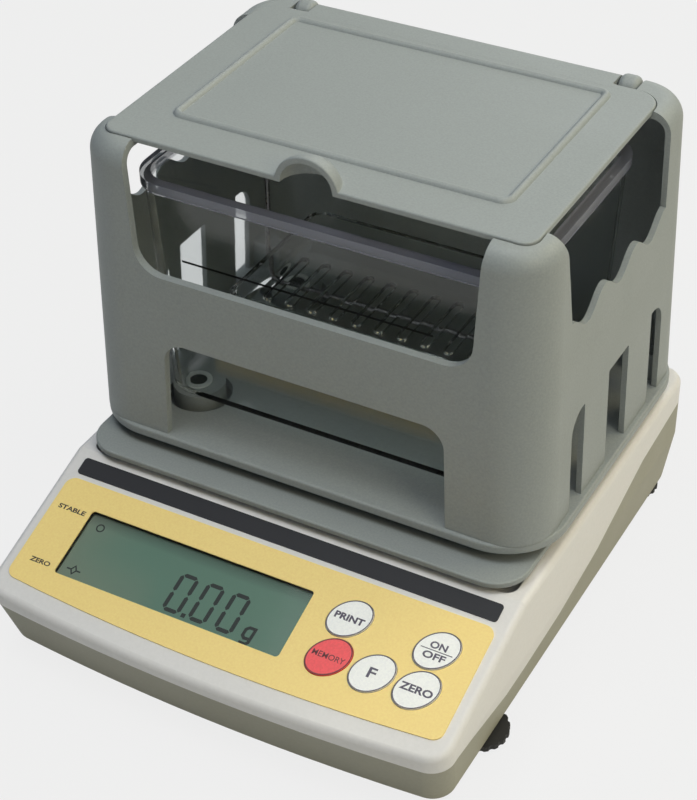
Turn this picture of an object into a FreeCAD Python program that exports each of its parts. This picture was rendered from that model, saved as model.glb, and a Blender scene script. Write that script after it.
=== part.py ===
"""Benchtop density meter: a compact balance with a water tank under a hinged cover.

Units are millimetres.  +Z is up, +X is to the operator's right and -Y faces the
operator.  The origin is on the bench, under the centre of the balance's case.

Two groups stand on the balance.  The tank stand and the water tank rest on the
case.  The weighing tray, the draught shield, the lid and the
hung basket rest on the load cell, and touch nothing of the first group.
"""
import FreeCAD
import Part

import math
import os

V = FreeCAD.Vector
X_AXIS = V(1, 0, 0)
Y_AXIS = V(0, 1, 0)
Z_AXIS = V(0, 0, 1)
EPS = 0.01

# ---- case ------------------------------------------------------------------
case_half_width = 95.0
case_front = -112.5            # middle of the bowed front face
case_rear = 112.5
case_bow_radius = 900.0        # plan radius of the front face
case_corner_radius = 9.0
case_bottom = 4.0
case_rim = 54.5                # top of the rim round the recess
case_wall = 2.5
case_edge_radius = 2.6
taper_top = 27.5               # below this height the case leans inwards
taper_side = 3.0
taper_front = 8.0
taper_rear = 3.0
panel_tilt = 18.9              # degrees, control panel against the bench
panel_ridge = -44.0            # where the slope of the panel starts
parting_points = [             # (y, z) of the seam between the two case shells
    (-120.0, 25.2), (-112.5, 25.5), (-96.0, 26.0), (-83.0, 24.1), (-55.0, 18.7),
    (-38.0, 18.7), (-9.0, 20.3), (18.0, 25.9), (67.0, 39.6), (112.5, 44.0), (120.0, 44.5)]

# ---- recess in the top of the case -----------------------------------------
recess_side_margin = 5.6
recess_ridge_gap = 1.0
recess_rear_margin = 5.0
recess_depth = 6.0
recess_radius = 5.0
post_hole_radius = 12.0

# ---- control panel, distances down the slope from the ridge ----------------
strip_side_margin = 6.5
strip_top = 3.7
strip_height = 7.4
strip_radius = 1.4
strip_thickness = 0.4
overlay_side_margin = 5.0
overlay_top = 13.3
overlay_corner = 59.9          # lower edge at the sides
overlay_middle = 64.1          # lower edge in the middle
overlay_radius = 4.0
overlay_thickness = 0.5
lcd_side_margin = 22.0
lcd_key_gap = 16.9             # from the window to the middle of the first key
lcd_top = 23.8
lcd_bottom = 52.5
lcd_radius = 1.5
lcd_window_thickness = 1.2
lcd_window_lip = 1.5
lcd_window_gap = 0.15          # round the window, in its hole
lcd_glass_radius = 0.5
lcd_glass_thickness = 2.8
lcd_glass_gap = 0.4
lcd_pocket_gap = 0.1           # round the display glass, in its frame
lcd_well_margin = 4.0          # ledge of the frame under the glass
lcd_frame_width = 3.0
lcd_frame_radius = 1.0
lcd_collar_gap = 0.2           # round the frame's collar, in the case
lcd_frame_gap = 0.3            # under the case wall
key_side_margin = 20.8
key_column_pitch = 17.2
key_rows = [29.1, 45.5]
key_long = 8.8                 # half lengths of a key's oval
key_short = 7.0
key_turn = 45.0                # degrees, long axis towards the upper right
key_gap = 0.25
key_proud = 0.45
key_cap_thickness = 2.2
key_edge_radius = 0.3
key_tab_reach = 1.5            # tabs past the two ends of the oval, under the panel
key_tab_half_width = 4.5
key_tab_thickness = 0.8
key_travel = 0.6
key_stem_radius = 1.6
switch_size = 6.0
switch_height = 3.4
switch_button_radius = 1.75
switch_button_height = 0.5
stem_gap = 0.1                 # left between stem and switch when the key is down
key_board_depth = 9.0          # board's top face under the panel
key_board_side_margin = 16.0
board_high_edge = 14.0
board_low_edge = 62.5
board_corner_radius = 2.0
board_thickness = 1.6
key_post_radius = 3.0
key_post_rows = [17.5, 59.0]
key_post_step = 1.0            # the upper right post stands lower down, past the switch

# ---- screws ----------------------------------------------------------------
small_screw_radius = 1.35
small_screw_hole = 1.6         # clearance hole in a board or wall
small_screw_bite = 0.03        # bore of a post over the screw's radius
board_screw_head = 2.4
board_screw_head_height = 1.4
board_screw_length = 6.5
stand_screw_head = 2.8
stand_screw_head_height = 1.5
stand_screw_length = 7.0

# ---- inside the case -------------------------------------------------------
weigh_centre = 31.5            # y of the load path and of the tank
cell_side_margin = 35.0        # from the case's side to the beam's end
cell_half_width = 15.0
cell_height = 22.0
cell_case_gap = 14.0           # from the beam's top to the case's rim
cell_hole_radius = 7.0
cell_hole_offset = 9.0
cell_slot_half_height = 3.0    # slot that joins the two holes
cell_mount_length = 26.0
cell_pad_margin = 2.0          # raised pad in the case round the mount
cell_pad_height = 1.0
cell_screw_radius = 2.5
cell_screw_spacing = 14.0
cell_screw_depth = 12.0
cell_screw_end_gap = 2.0
cell_screw_head_height = 1.2
cell_gap = 0.3                 # load bracket over the cell's beam
bracket_thickness = 3.0
bracket_left = -14.0
bracket_overhang = 12.0        # past the beam's free end
bracket_half_width = 12.0
bracket_radius = 3.0
post_radius = 8.0
stop_screw_inset = 5.0         # from the bracket's end
stop_screw_radius = 2.5
stop_gap = 0.35
stop_nut_radius = 4.5
stop_nut_height = 3.0
main_board_side_margin = 41.0
main_board_front = 60.0
main_board_rear_gap = 9.5
main_board_hole_inset = 5.0
standoff_height = 10.0
standoff_radius = 3.0
standoff_bore = 1.3
standoff_floor = 0.5
standoff_screw_length = 4.8
standoff_screw_head = 2.6
standoff_screw_head_height = 1.6
chip_boxes = [                 # x as a share of the board's half width, then y from its
    (-0.66, 15.0, 12.0, 12.0, 2.0), (-0.33, 14.0, 14.0, 10.0, 2.0),   # front edge, width,
    (0.11, 14.0, 10.0, 14.0, 2.5), (0.55, 13.0, 14.0, 14.0, 2.0),     # depth and height
    (0.83, 26.0, 8.0, 8.0, 6.0), (-0.18, 32.0, 8.0, 5.0, 4.0)]
jack_x = -34.0
jack_width = 9.0
jack_height = 11.0
jack_depth = 14.5
jack_wall_gap = 1.5            # behind the case's rear face
jack_axis_height = 6.5
jack_barrel_radius = 3.1
jack_barrel_depth = 10.5
jack_pin_radius = 1.0
jack_pin_length = 9.0
serial_x = 18.0
serial_width = 31.0
serial_height = 12.5
serial_flange_inset = 4.0
serial_flange_thickness = 1.2
serial_block_half_width = 9.5
serial_block_depth = 12.0
serial_shell_half_width = 8.5
serial_shell_half_height = 4.2
serial_shell_inset = 0.1
serial_shell_wall = 0.6
serial_pin_radius = 0.5
serial_pin_length = 2.2
serial_pin_pitch = 2.76
serial_row_half = 1.4
shell_screw_side_margin = 11.0
shell_screw_rear_side_margin = 35.0
shell_screw_front_margin = 24.5
shell_screw_middle = 22.0
shell_screw_rear_margin = 8.5
shell_screw_radius = 1.5
shell_screw_head = 3.0
shell_screw_head_height = 2.0
shell_screw_clearance = 0.15
shell_screw_bite = 0.1
shell_head_clearance = 0.3
shell_boss_radius = 4.3
shell_boss_height = 6.0        # of the lower shell's bosses, over its floor
shell_screw_top = 26.5

# ---- feet ------------------------------------------------------------------
foot_front_inset = 9.5
foot_front_y = -59.5
foot_rear_inset = 13.5
foot_rear_margin = 15.5
foot_pad_radius = 9.5
foot_pad_narrowing = 0.8
foot_pad_height = 1.5
foot_front_radius = 11.5
foot_rear_radius = 10.5
foot_knob_height = 2.1
foot_knob_flutes = 18
flute_radius = 1.5
flute_offset = 0.9
foot_gap = 0.1
foot_spigot_radius = 2.0
foot_spigot_length = 0.9
foot_spigot_clearance = 0.08
foot_stud_radius = 3.0
foot_stud_clearance = 0.08
foot_stud_length = 12.0
foot_stud_seat = 0.8           # knob's floor under the stud
foot_boss_radius = 6.0
foot_boss_height = 8.0

# ---- stand plate on the case -----------------------------------------------
plate_side_margin = 4.0
plate_front = -46.3
plate_rear_margin = 2.5
plate_case_gap = 2.6
plate_thickness = 2.2
plate_radius = 14.0
plate_edge_radius = 0.7
plate_hole_radius = 13.0
pedestal_radius = 6.0
pedestal_side_margin = 21.0
pedestal_front = -30.0
pedestal_rear_margin = 18.5
boss_inset = 14.7              # from the tank's side
boss_end_inset = 14.9          # from the tank's front and rear
boss_radius = 10.5

# ---- bosses and tank -------------------------------------------------------
boss_proud = 5.1               # over the weighing tray
ring_tube_radius = 4.4
ring_tube_length = 5.0
ring_outer_radius = 5.5
ring_inner_radius = 3.5
ring_height = 0.6
tank_half_width = 76.2         # at the rim
tank_half_depth = 52.9
tank_lean = 4.0                # each side leans in by this much down to the foot
tank_wire_gap = 5.5            # from the rim up to the wire that crosses it
tank_wall = 2.8
tank_radius = 13.0
tank_foot_radius = 3.0
tank_rim_width = 1.2
tank_rim_height = 4.0

# ---- weighing tray ---------------------------------------------------------
spider_plate_gap = 1.0
spider_thickness = 2.0
spider_hub_radius = 16.0
spider_arm_width = 14.0
spider_boss_gap_x = 15.5       # from an arm's end to the middle of the boss
spider_boss_gap_y = 13.25
spider_pad_radius = 5.0
spider_pad_height = 1.1
tray_thickness = 4.0
tray_side_margin = 2.3         # past the draught shield's foot
tray_front_margin = 1.5
tray_rear_margin = 2.0
tray_boss_clearance = 2.5      # round each boss that passes through the tray
tray_radius = 25.0
tray_edge_radius = 1.0
tray_counterbore = 2.0

# ---- draught shield --------------------------------------------------------
shield_case_margin = 1.4
shield_lean = 3.1              # each side leans in by this much up to the top
shield_front = -35.0
shield_rear_margin = 7.1
shield_rear_lean = 4.0
shield_height = 120.2          # over the weighing tray
shield_radius = 18.0
shield_wall = 3.2              # front and rear
shield_side_wall = 2.2
shield_edge_radius = 8.5
window_margin = 27.1           # from the shield's side, at the foot of the wall
window_top_margin = 20.6
window_drop = 49.5             # lower edge, under the shield's top
window_radius = 11.0
port_margin = 35.1
port_top_margin = 33.5
port_height = 42.9
port_radius = 9.0
wave_front_bottom = -9.6
wave_front_top = -16.0
wave_length = 28.2
wave_count = 3
wave_drop = 40.8
wave_height = 3.5
slot_height = 40.9
slot_front = (-6.0, 5.2)
slot_middle = (27.0, 45.5)
slot_rear = (67.6, 78.8)
slot_radius = 9.0
slot_corner_radius = 0.8
slot_middle_radius = 1.0
rail_drop = 25.6               # lower edge of the rear rail, under the shield's top
rail_thickness = 5.0
shield_screw_inset = 9.0
shield_screw_end_inset = 20.0
shield_screw_radius = 1.5
shield_screw_bite = 0.05
shield_screw_clearance = 0.1
shield_screw_head = 3.0
shield_screw_head_height = 1.7
shield_screw_depth = 9.0
shield_boss_size = 7.0
shield_boss_cap = 3.0

# ---- lid -------------------------------------------------------------------
lid_side_margin = 7.5          # from the shield's side at its top
lid_front_margin = 8.3
lid_ear_margin = 14.9
lid_thickness = 2.0
lid_proud = 0.7                # over the shield's top
lid_front_radius = 6.0
lid_rear_radius = 10.0
lid_clearance = 0.4
lid_ear_clearance = 0.8
lid_seat_gap = 0.02
lid_ledge = 5.5
lid_well_depth = 6.0
lid_well_radius = 4.0
bead_side_margin = 16.5
bead_front_margin = 18.5
bead_rear_margin = 6.0
bead_width = 3.4
bead_height = 1.4
bead_radius = 5.0
hinge_margin = 8.4             # from the shield's rear wall at its top
hinge_barrel_radius = 3.7
hinge_barrel_gap = 0.7
hinge_gap = 0.3
knuckle_margin = 11.5          # from the lid's side
knuckle_length = 8.0
knuckle_radius = 4.8
knuckle_edge_radius = 2.6
knuckle_depth = 6.0
knuckle_side_gap = 0.5
hinge_pin_radius = 1.25
hinge_pin_clearance = 0.06
hinge_pin_length = 17.0
hinge_pin_end_gap = 1.0
hood_radius = 12.3             # finger hood on the lid's front edge
hood_height = 9.6              # over the lid's top face
hood_shell = 2.2

# ---- basket ----------------------------------------------------------------
basket_side_margin = 26.2      # from the tank's side
basket_half_depth = 34.0
basket_drop = 26.8             # from the tank's floor up to the basket
basket_thickness = 2.0
basket_wall_height = 10.0
basket_radius = 6.0
basket_edge_radius = 4.2
basket_slot_margin = 6.8       # from the basket's side to the last slot's middle
basket_slot_count = 10
basket_slot_width = 4.0
basket_slot_length = 32.0
wire_radius = 1.0
wire_bend = 5.0
rod_side_margin = 30.5         # rods under the lid that the basket hangs from
rod_drop = 15.6
rod_radius = 1.5
rod_collar_radius = 3.2
rod_collar_length = 3.0
rod_overhang = 8.0             # free end, in front of the basket's wire
yoke_overhang = 4.0

# ---- worked out: case and panel --------------------------------------------
tilt = math.radians(panel_tilt)
recess_half_width = case_half_width - recess_side_margin
recess_front = panel_ridge + recess_ridge_gap
recess_rear = case_rear - recess_rear_margin
recess_floor = case_rim - recess_depth
recess_roof = recess_floor - case_wall
case_floor = case_bottom + case_wall
boss_split = case_floor + shell_boss_height
shell_screw_seat = case_floor + 2.0
strip_half_width = case_half_width - strip_side_margin
overlay_half_width = case_half_width - overlay_side_margin
key_right = case_half_width - key_side_margin
key_columns = [key_right - 2 * key_column_pitch, key_right - key_column_pitch, key_right]
lcd_left = lcd_side_margin - case_half_width
lcd_right = key_columns[0] - lcd_key_gap
board_side = case_half_width - key_board_side_margin
key_post_left = lcd_left + key_post_radius
key_board_posts = [(key_post_left, -key_post_rows[0]),
                   (key_columns[1], -key_post_rows[0] - key_post_step),
                   (key_post_left, -key_post_rows[1]), (key_columns[1], -key_post_rows[1])]
key_cap_bottom = key_proud + overlay_thickness - key_cap_thickness
switch_top = -key_board_depth + switch_height
small_screw_bore = small_screw_radius + small_screw_bite
foot_front_place = (case_half_width - foot_front_inset, foot_front_y)
foot_rear_place = (case_half_width - foot_rear_inset, case_rear - foot_rear_margin)
shell_screw_places = [
    (side * (case_half_width - margin), y) for y, margin in (
        (case_front + shell_screw_front_margin, shell_screw_side_margin),
        (shell_screw_middle, shell_screw_side_margin),
        (case_rear - shell_screw_rear_margin, shell_screw_rear_side_margin))
    for side in (-1, 1)]

# ---- worked out: load path -------------------------------------------------
cell_half_length = case_half_width - cell_side_margin
cell_top = case_rim - cell_case_gap
cell_bottom = cell_top - cell_height
cell_mount_x = -cell_half_length + cell_mount_length / 2
cell_screw_rows = [weigh_centre - cell_screw_spacing / 2, weigh_centre + cell_screw_spacing / 2]
bracket_bottom = cell_top + cell_gap
bracket_right = cell_half_length + bracket_overhang
stop_screw_x = bracket_right - stop_screw_inset
main_board_half_width = case_half_width - main_board_side_margin
main_board_rear = case_rear - main_board_rear_gap
board_bottom = case_floor + standoff_height
board_top = board_bottom + board_thickness
board_hole_places = [(side * (main_board_half_width - main_board_hole_inset), y)
                     for side in (-1, 1)
                     for y in (main_board_front + main_board_hole_inset,
                               main_board_rear - main_board_hole_inset)]
plate_half_width = case_half_width - plate_side_margin
plate_rear = case_rear - plate_rear_margin
plate_bottom = case_rim + plate_case_gap
plate_top = plate_bottom + plate_thickness
pedestal_x = case_half_width - pedestal_side_margin
pedestal_places = [(side * pedestal_x, y) for side in (-1, 1)
                   for y in (pedestal_front, case_rear - pedestal_rear_margin)]
boss_x = tank_half_width - boss_inset
boss_spread = tank_half_depth - boss_end_inset
boss_places = [(x, weigh_centre + y) for x in (-boss_x, boss_x)
               for y in (-boss_spread, boss_spread)]
spider_bottom = plate_top + spider_plate_gap
spider_top = spider_bottom + spider_thickness
spider_places = [(side * (boss_x - spider_boss_gap_x), weigh_centre + way
                  * (boss_spread - spider_boss_gap_y)) for side in (-1, 1) for way in (-1, 1)]
tray_bottom = spider_top + spider_pad_height
tray_top = tray_bottom + tray_thickness
boss_top = tray_top + boss_proud

# ---- worked out: shield, lid, tank and basket ------------------------------
shield_half_bottom = case_half_width - shield_case_margin
shield_half_top = shield_half_bottom - shield_lean
shield_rear_bottom = case_rear - shield_rear_margin
shield_rear_top = shield_rear_bottom - shield_rear_lean
shield_top = tray_top + shield_height
window_half_bottom = shield_half_bottom - window_margin
window_half_top = shield_half_top - window_top_margin
window_bottom = shield_top - window_drop
port_half_bottom = shield_half_bottom - port_margin
port_half_top = shield_half_top - port_top_margin
port_top = tray_top + port_height
wave_middle = shield_top - wave_drop
slot_top = tray_top + slot_height
shield_screw_x = shield_half_bottom - shield_screw_inset
shield_screw_places = [(side * shield_screw_x, y) for side in (-1, 1)
                       for y in (shield_front + shield_screw_end_inset,
                                 shield_rear_bottom - shield_screw_end_inset)]
lid_half_width = shield_half_top - lid_side_margin
lid_front = shield_front + lid_front_margin
lid_ear_rear = shield_rear_top - lid_ear_margin
lid_top = shield_top + lid_proud
lid_bottom = lid_top - lid_thickness
bead_half_width = lid_half_width - bead_side_margin
bead_front = lid_front + bead_front_margin
bead_rear = lid_ear_rear - bead_rear_margin
hinge_y = shield_rear_top - hinge_margin
hinge_z = lid_top - hinge_barrel_radius
barrel_cut = hinge_z - hinge_barrel_radius - hinge_barrel_gap
knuckle_outer = lid_half_width - knuckle_margin
knuckle_inner = knuckle_outer - knuckle_length
tank_bottom = boss_top + ring_height
rod_x = shield_half_top - rod_side_margin
rod_z = shield_top - rod_drop
tank_top = rod_z + rod_radius - tank_wire_gap
basket_half_width = tank_half_width - basket_side_margin
basket_floor = tank_bottom + tank_wall + basket_drop


# ---- helpers ---------------------------------------------------------------
def box(x0, x1, y0, y1, z0, z1):
    return Part.makeBox(x1 - x0, y1 - y0, z1 - z0, V(x0, y0, z0))


def rod(x, y, z0, z1, radius):
    return Part.makeCylinder(radius, z1 - z0, V(x, y, z0))


def fused(shapes):
    body = shapes[0]
    if len(shapes) > 1:
        body = body.multiFuse(shapes[1:])
    return body.removeSplitter()


def group(shapes):
    return Part.Compound(shapes)


def rounded_wire(points, radii, z=0.0):
    """Closed wire in XY through the points, each corner rounded by its own radius."""
    count = len(points)
    starts, ends, middles = [], [], []
    for i in range(count):
        here = V(points[i][0], points[i][1], z)
        before = V(points[i - 1][0], points[i - 1][1], z) - here
        after = V(points[(i + 1) % count][0], points[(i + 1) % count][1], z) - here
        before.normalize()
        after.normalize()
        half = before.getAngle(after) / 2
        radius = radii[i]
        run = radius / math.tan(half)
        bisector = before + after
        bisector.normalize()
        centre = here + bisector * (radius / math.sin(half))
        starts.append(here + before * run)
        ends.append(here + after * run)
        middles.append(centre - bisector * radius)
    edges = []
    for i in range(count):
        if radii[i] > 0:
            edges.append(Part.Arc(starts[i], middles[i], ends[i]).toShape())
        following = starts[(i + 1) % count]
        if (following - ends[i]).Length > 1e-6:
            edges.append(Part.LineSegment(ends[i], following).toShape())
    return Part.Wire(edges)


def rectangle_wire(x0, x1, y0, y1, radii, z=0.0):
    """Rectangle; radii are for the corners front left, front right, rear right, rear left."""
    return rounded_wire([(x0, y0), (x1, y0), (x1, y1), (x0, y1)], radii, z)


def slab(wire, height):
    return Part.Face(wire).extrude(V(0, 0, height))


def rounded_slab(half_width, y0, y1, z0, height, front_radius, rear_radius=None):
    rear = front_radius if rear_radius is None else rear_radius
    radii = [front_radius, front_radius, rear, rear]
    return slab(rectangle_wire(-half_width, half_width, y0, y1, radii, z0), height)


def on_panel(shape):
    """Moves a shape drawn flat to the control panel.

    Flat, x runs across, -y runs down the slope from the ridge, and z = 0 is the panel.
    """
    placed = shape.copy()
    placed.rotate(V(0, 0, 0), X_AXIS, panel_tilt)
    placed.translate(V(0, panel_ridge, case_rim))
    return placed


def standing(shape):
    """Turns a shape drawn in XY so that its y becomes z, its z becomes -y."""
    placed = shape.copy()
    placed.rotate(V(0, 0, 0), X_AXIS, 90)
    return placed


def sideways(shape):
    """Turns a shape drawn in XY so that x becomes y, y becomes z and z becomes x."""
    placed = shape.copy()
    placed.rotate(V(0, 0, 0), X_AXIS, 90)
    placed.rotate(V(0, 0, 0), Z_AXIS, 90)
    return placed


def oval(x, y, long_half, short_half, z0, height, turn):
    ellipse = Part.Ellipse(V(0, 0, 0), long_half, short_half)
    solid = Part.Face(Part.Wire([ellipse.toShape()])).extrude(V(0, 0, height))
    solid.rotate(V(0, 0, 0), Z_AXIS, turn)
    solid.translate(V(x, y, z0))
    return solid


def screw(x, y, z_head, length, radius, head_radius, head_height, upwards):
    """Screw on a vertical axis; z_head is the seat under its head."""
    way = 1 if upwards else -1
    shank = Part.makeCylinder(radius, length, V(x, y, z_head), V(0, 0, way))
    head = Part.makeCylinder(head_radius, head_height, V(x, y, z_head), V(0, 0, -way))
    return fused([shank, head])


# ---- case ------------------------------------------------------------------
def case_outline(side, front, rear, inset, z):
    """Plan outline of the case with a bowed front and rounded corners."""
    half = case_half_width - side - inset
    y_front = case_front + front + inset
    y_rear = case_rear - rear - inset
    radius = max(case_corner_radius - inset, 1.0)
    bow = case_bow_radius
    bow_y = y_front + bow
    corner_x = half - radius
    corner_y = bow_y - math.sqrt((bow - radius) ** 2 - corner_x ** 2)
    reach = bow / (bow - radius)
    touch = V(corner_x * reach, bow_y + (corner_y - bow_y) * reach, z)
    turn = math.atan2(touch.y - corner_y, touch.x - corner_x) / 2
    middle = V(corner_x + radius * math.cos(turn), corner_y + radius * math.sin(turn), z)
    rear_middle = radius * math.sqrt(0.5)
    rear_y = y_rear - radius

    def left(point):
        return V(-point.x, point.y, point.z)

    side_front = V(half, corner_y, z)
    side_rear = V(half, rear_y, z)
    rear_start = V(corner_x, y_rear, z)
    rear_mid = V(corner_x + rear_middle, rear_y + rear_middle, z)
    edges = [
        Part.Arc(left(touch), V(0, y_front, z), touch).toShape(),
        Part.Arc(touch, middle, side_front).toShape(),
        Part.LineSegment(side_front, side_rear).toShape(),
        Part.Arc(side_rear, rear_mid, rear_start).toShape(),
        Part.LineSegment(rear_start, left(rear_start)).toShape(),
        Part.Arc(left(rear_start), left(rear_mid), left(side_rear)).toShape(),
        Part.LineSegment(left(side_rear), left(side_front)).toShape(),
        Part.Arc(left(side_front), left(middle), left(touch)).toShape(),
    ]
    return Part.Wire(edges)


def case_form(inset, top):
    """The case's solid form, drawn in by an inset, up to a height at the rim."""
    bottom = case_bottom + inset
    share = (bottom - case_bottom) / (taper_top - case_bottom)
    low = case_outline(taper_side * (1 - share), taper_front * (1 - share),
                       taper_rear * (1 - share), inset, bottom)
    middle = case_outline(0, 0, 0, inset, taper_top)
    high = case_outline(0, 0, 0, inset, top)
    form = Part.makeLoft([low, middle], True, True)
    form = fused([form, Part.makeLoft([middle, high], True, True)])
    reach = case_half_width + 10
    panel_drop = inset / math.cos(tilt)
    ridge_z = case_rim - panel_drop
    run = 90.0
    wedge = Part.makePolygon([
        V(-reach, panel_ridge, ridge_z), V(-reach, panel_ridge, ridge_z + 60),
        V(-reach, panel_ridge - run, ridge_z + 60),
        V(-reach, panel_ridge - run, ridge_z - run * math.tan(tilt)),
        V(-reach, panel_ridge, ridge_z)])
    return form.cut(Part.Face(wedge).extrude(V(2 * reach, 0, 0)))


def parting_block():
    """Everything under the seam of the case."""
    reach = case_half_width + 20
    low = case_bottom - 20
    seam = [V(-reach, y, z) for y, z in parting_points]
    outline = seam + [V(-reach, seam[-1].y, low), V(-reach, seam[0].y, low), seam[0]]
    return Part.Face(Part.makePolygon(outline)).extrude(V(2 * reach, 0, 0))


def rounded_case():
    """Case form with its upper edges and its foot rounded."""
    form = case_form(0, case_rim)
    chosen = []
    for edge in form.Edges:
        bounds = edge.BoundBox
        across = abs(bounds.YMin - panel_ridge) < 0.1 and abs(bounds.YMax - panel_ridge) < 0.1
        rim = bounds.ZMin > taper_top + 1 and not across
        upright = bounds.ZMax - bounds.ZMin > 8 and bounds.YMax - bounds.YMin < 1
        foot = bounds.ZMax < case_bottom + 0.1
        if foot or (rim and not upright):
            chosen.append(edge)
    return form.makeFillet(case_edge_radius, chosen)


def shell_screw_holes(radius, z0, z1):
    return [rod(x, y, z0, z1, radius) for x, y in shell_screw_places]


def case_shells():
    form = rounded_case()
    under = parting_block()
    hollow = case_form(case_wall, recess_floor - case_wall)
    lower = form.common(under).cut(hollow)
    upper = form.cut(under).cut(hollow)
    return lower, upper, hollow, under


def foot_places():
    front_x, front_y = foot_front_place
    rear_x, rear_y = foot_rear_place
    return {"front_left": (-front_x, front_y), "front_right": (front_x, front_y),
            "rear_left": (-rear_x, rear_y), "rear_right": (rear_x, rear_y)}


def make_lower_case(lower, hollow, under):
    adds = []
    for x, y in foot_places().values():
        adds.append(rod(x, y, case_bottom + EPS, case_bottom + foot_boss_height, foot_boss_radius))
    for x, y in shell_screw_places:
        adds.append(rod(x, y, case_bottom + 1, boss_split, shell_boss_radius))
    pad_x = cell_mount_length / 2 + cell_pad_margin
    pad_y = cell_half_width + cell_pad_margin
    adds.append(box(cell_mount_x - pad_x, cell_mount_x + pad_x, weigh_centre - pad_y,
                    weigh_centre + pad_y, case_floor - 1, case_floor + cell_pad_height))
    inside = case_form(EPS, case_rim).common(under)
    body = fused([lower] + [add.common(inside) for add in adds])
    cuts = []
    for x, y in foot_places().values():
        cuts.append(rod(x, y, 0, 60, foot_stud_radius + foot_stud_clearance))
    cuts += shell_screw_holes(shell_screw_radius + shell_screw_clearance, 0, cell_top)
    cuts += shell_screw_holes(shell_screw_head + shell_head_clearance, 0, shell_screw_seat)
    for y in cell_screw_rows:
        cuts.append(rod(cell_mount_x, y, 0, cell_top, cell_screw_radius))
        cuts.append(rod(cell_mount_x, y, 0, case_floor - 1, 2 * cell_screw_radius))
    cuts.append(rod(stop_screw_x, weigh_centre, 0, cell_top, stop_screw_radius))
    cuts.append(box(jack_x - jack_width / 2, jack_x + jack_width / 2, case_rear - 20,
                    case_rear + 5, board_top, board_top + jack_height))
    cuts.append(box(serial_x - serial_width / 2, serial_x + serial_width / 2, case_rear - 20,
                    case_rear + 5, board_top, board_top + serial_height))
    return body.cut(group(cuts))


def make_upper_case(upper):
    recess = rounded_slab(recess_half_width, recess_front, recess_rear, recess_floor,
                          recess_depth + 5, recess_radius)
    inside = case_form(EPS, case_rim)
    seam_side = case_form(0, case_rim).cut(parting_block())
    posts = []
    for x, y in shell_screw_places:
        top = recess_roof + 1 if y > panel_ridge else case_rim
        posts.append(rod(x, y, boss_split, top, shell_boss_radius).common(inside))
    posts += key_board_post_solids().Solids
    body = fused([upper] + posts).common(inside.fuse(seam_side))
    cuts = [recess, rod(0, weigh_centre, recess_roof - 5, case_rim, post_hole_radius)]
    cuts += shell_screw_holes(shell_screw_radius - shell_screw_bite, 0, shell_screw_top)
    cuts += [rod(x, y, recess_roof - 5, case_rim, small_screw_hole) for x, y in pedestal_places]
    body = body.cut(group(cuts))
    cuts = [rod(x, y, -30, -2, small_screw_bore) for x, y in key_board_posts]
    return body.cut(on_panel(group(panel_holes() + cuts)))


def key_places():
    left, middle, right = key_columns
    upper, lower = key_rows
    return {"print": (left, -upper), "on_off": (right, -upper), "memory": (left, -lower),
            "function": (middle, -lower), "zero": (right, -lower)}


def panel_holes():
    """Cuts through the sloping wall for the display and the keys, drawn flat."""
    lip = lcd_window_lip
    holes = [slab(rectangle_wire(lcd_left - lip, lcd_right + lip, -lcd_bottom - lip,
                                 -lcd_top + lip, [lcd_radius + lip] * 4, -6), 12)]
    for x, y in key_places().values():
        holes.append(oval(x, y, key_long + key_gap, key_short + key_gap, -10, 20, key_turn))
        holes.append(oval(x, y, key_long + key_tab_reach + 2 * key_gap,
                          key_tab_half_width + 2 * key_gap, -10, 10 + key_cap_bottom, key_turn))
    return holes


def overlay_wire(z):
    """Outline of the printed overlay, bowed along its lower edge."""
    half = overlay_half_width
    top, corner, middle = -overlay_top, -overlay_corner, -overlay_middle
    sagitta = corner - middle
    bow = (half ** 2 + sagitta ** 2) / (2 * sagitta)
    radius = overlay_radius
    centre_y = middle + bow
    corner_x = half - radius
    corner_y = centre_y - math.sqrt((bow - radius) ** 2 - corner_x ** 2)
    reach = bow / (bow - radius)
    touch = V(corner_x * reach, centre_y + (corner_y - centre_y) * reach, z)
    turn = math.atan2(touch.y - corner_y, touch.x - corner_x) / 2
    mid = V(corner_x + radius * math.cos(turn), corner_y + radius * math.sin(turn), z)
    diagonal = radius * math.sqrt(0.5)
    side_low = V(half, corner_y, z)
    side_high = V(half, top - radius, z)
    top_mid = V(corner_x + diagonal, top - radius + diagonal, z)
    top_end = V(corner_x, top, z)

    def left(point):
        return V(-point.x, point.y, point.z)

    return Part.Wire([
        Part.Arc(left(touch), V(0, middle, z), touch).toShape(),
        Part.Arc(touch, mid, side_low).toShape(),
        Part.LineSegment(side_low, side_high).toShape(),
        Part.Arc(side_high, top_mid, top_end).toShape(),
        Part.LineSegment(top_end, left(top_end)).toShape(),
        Part.Arc(left(top_end), left(top_mid), left(side_high)).toShape(),
        Part.LineSegment(left(side_high), left(side_low)).toShape(),
        Part.Arc(left(side_low), left(mid), left(touch)).toShape(),
    ])


def make_panel_overlay():
    sheet = slab(overlay_wire(0), overlay_thickness)
    cuts = [slab(rectangle_wire(lcd_left, lcd_right, -lcd_bottom, -lcd_top,
                                [lcd_radius] * 4, -1), 3)]
    for x, y in key_places().values():
        cuts.append(oval(x, y, key_long + key_gap, key_short + key_gap, -1, 3, key_turn))
    return on_panel(sheet.cut(group(cuts)))


def make_title_strip():
    wire = rectangle_wire(-strip_half_width, strip_half_width, -strip_top - strip_height,
                          -strip_top, [strip_radius] * 4)
    return on_panel(slab(wire, strip_thickness))


def make_lcd_window():
    """Clear window in the hole of the case, under the overlay's edge."""
    lip = lcd_window_lip - lcd_window_gap
    top = -EPS
    plate = slab(rectangle_wire(lcd_left - lip, lcd_right + lip, -lcd_bottom - lip,
                                -lcd_top + lip, [lcd_radius + lip] * 4,
                                top - lcd_window_thickness), lcd_window_thickness)
    return on_panel(plate)


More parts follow.
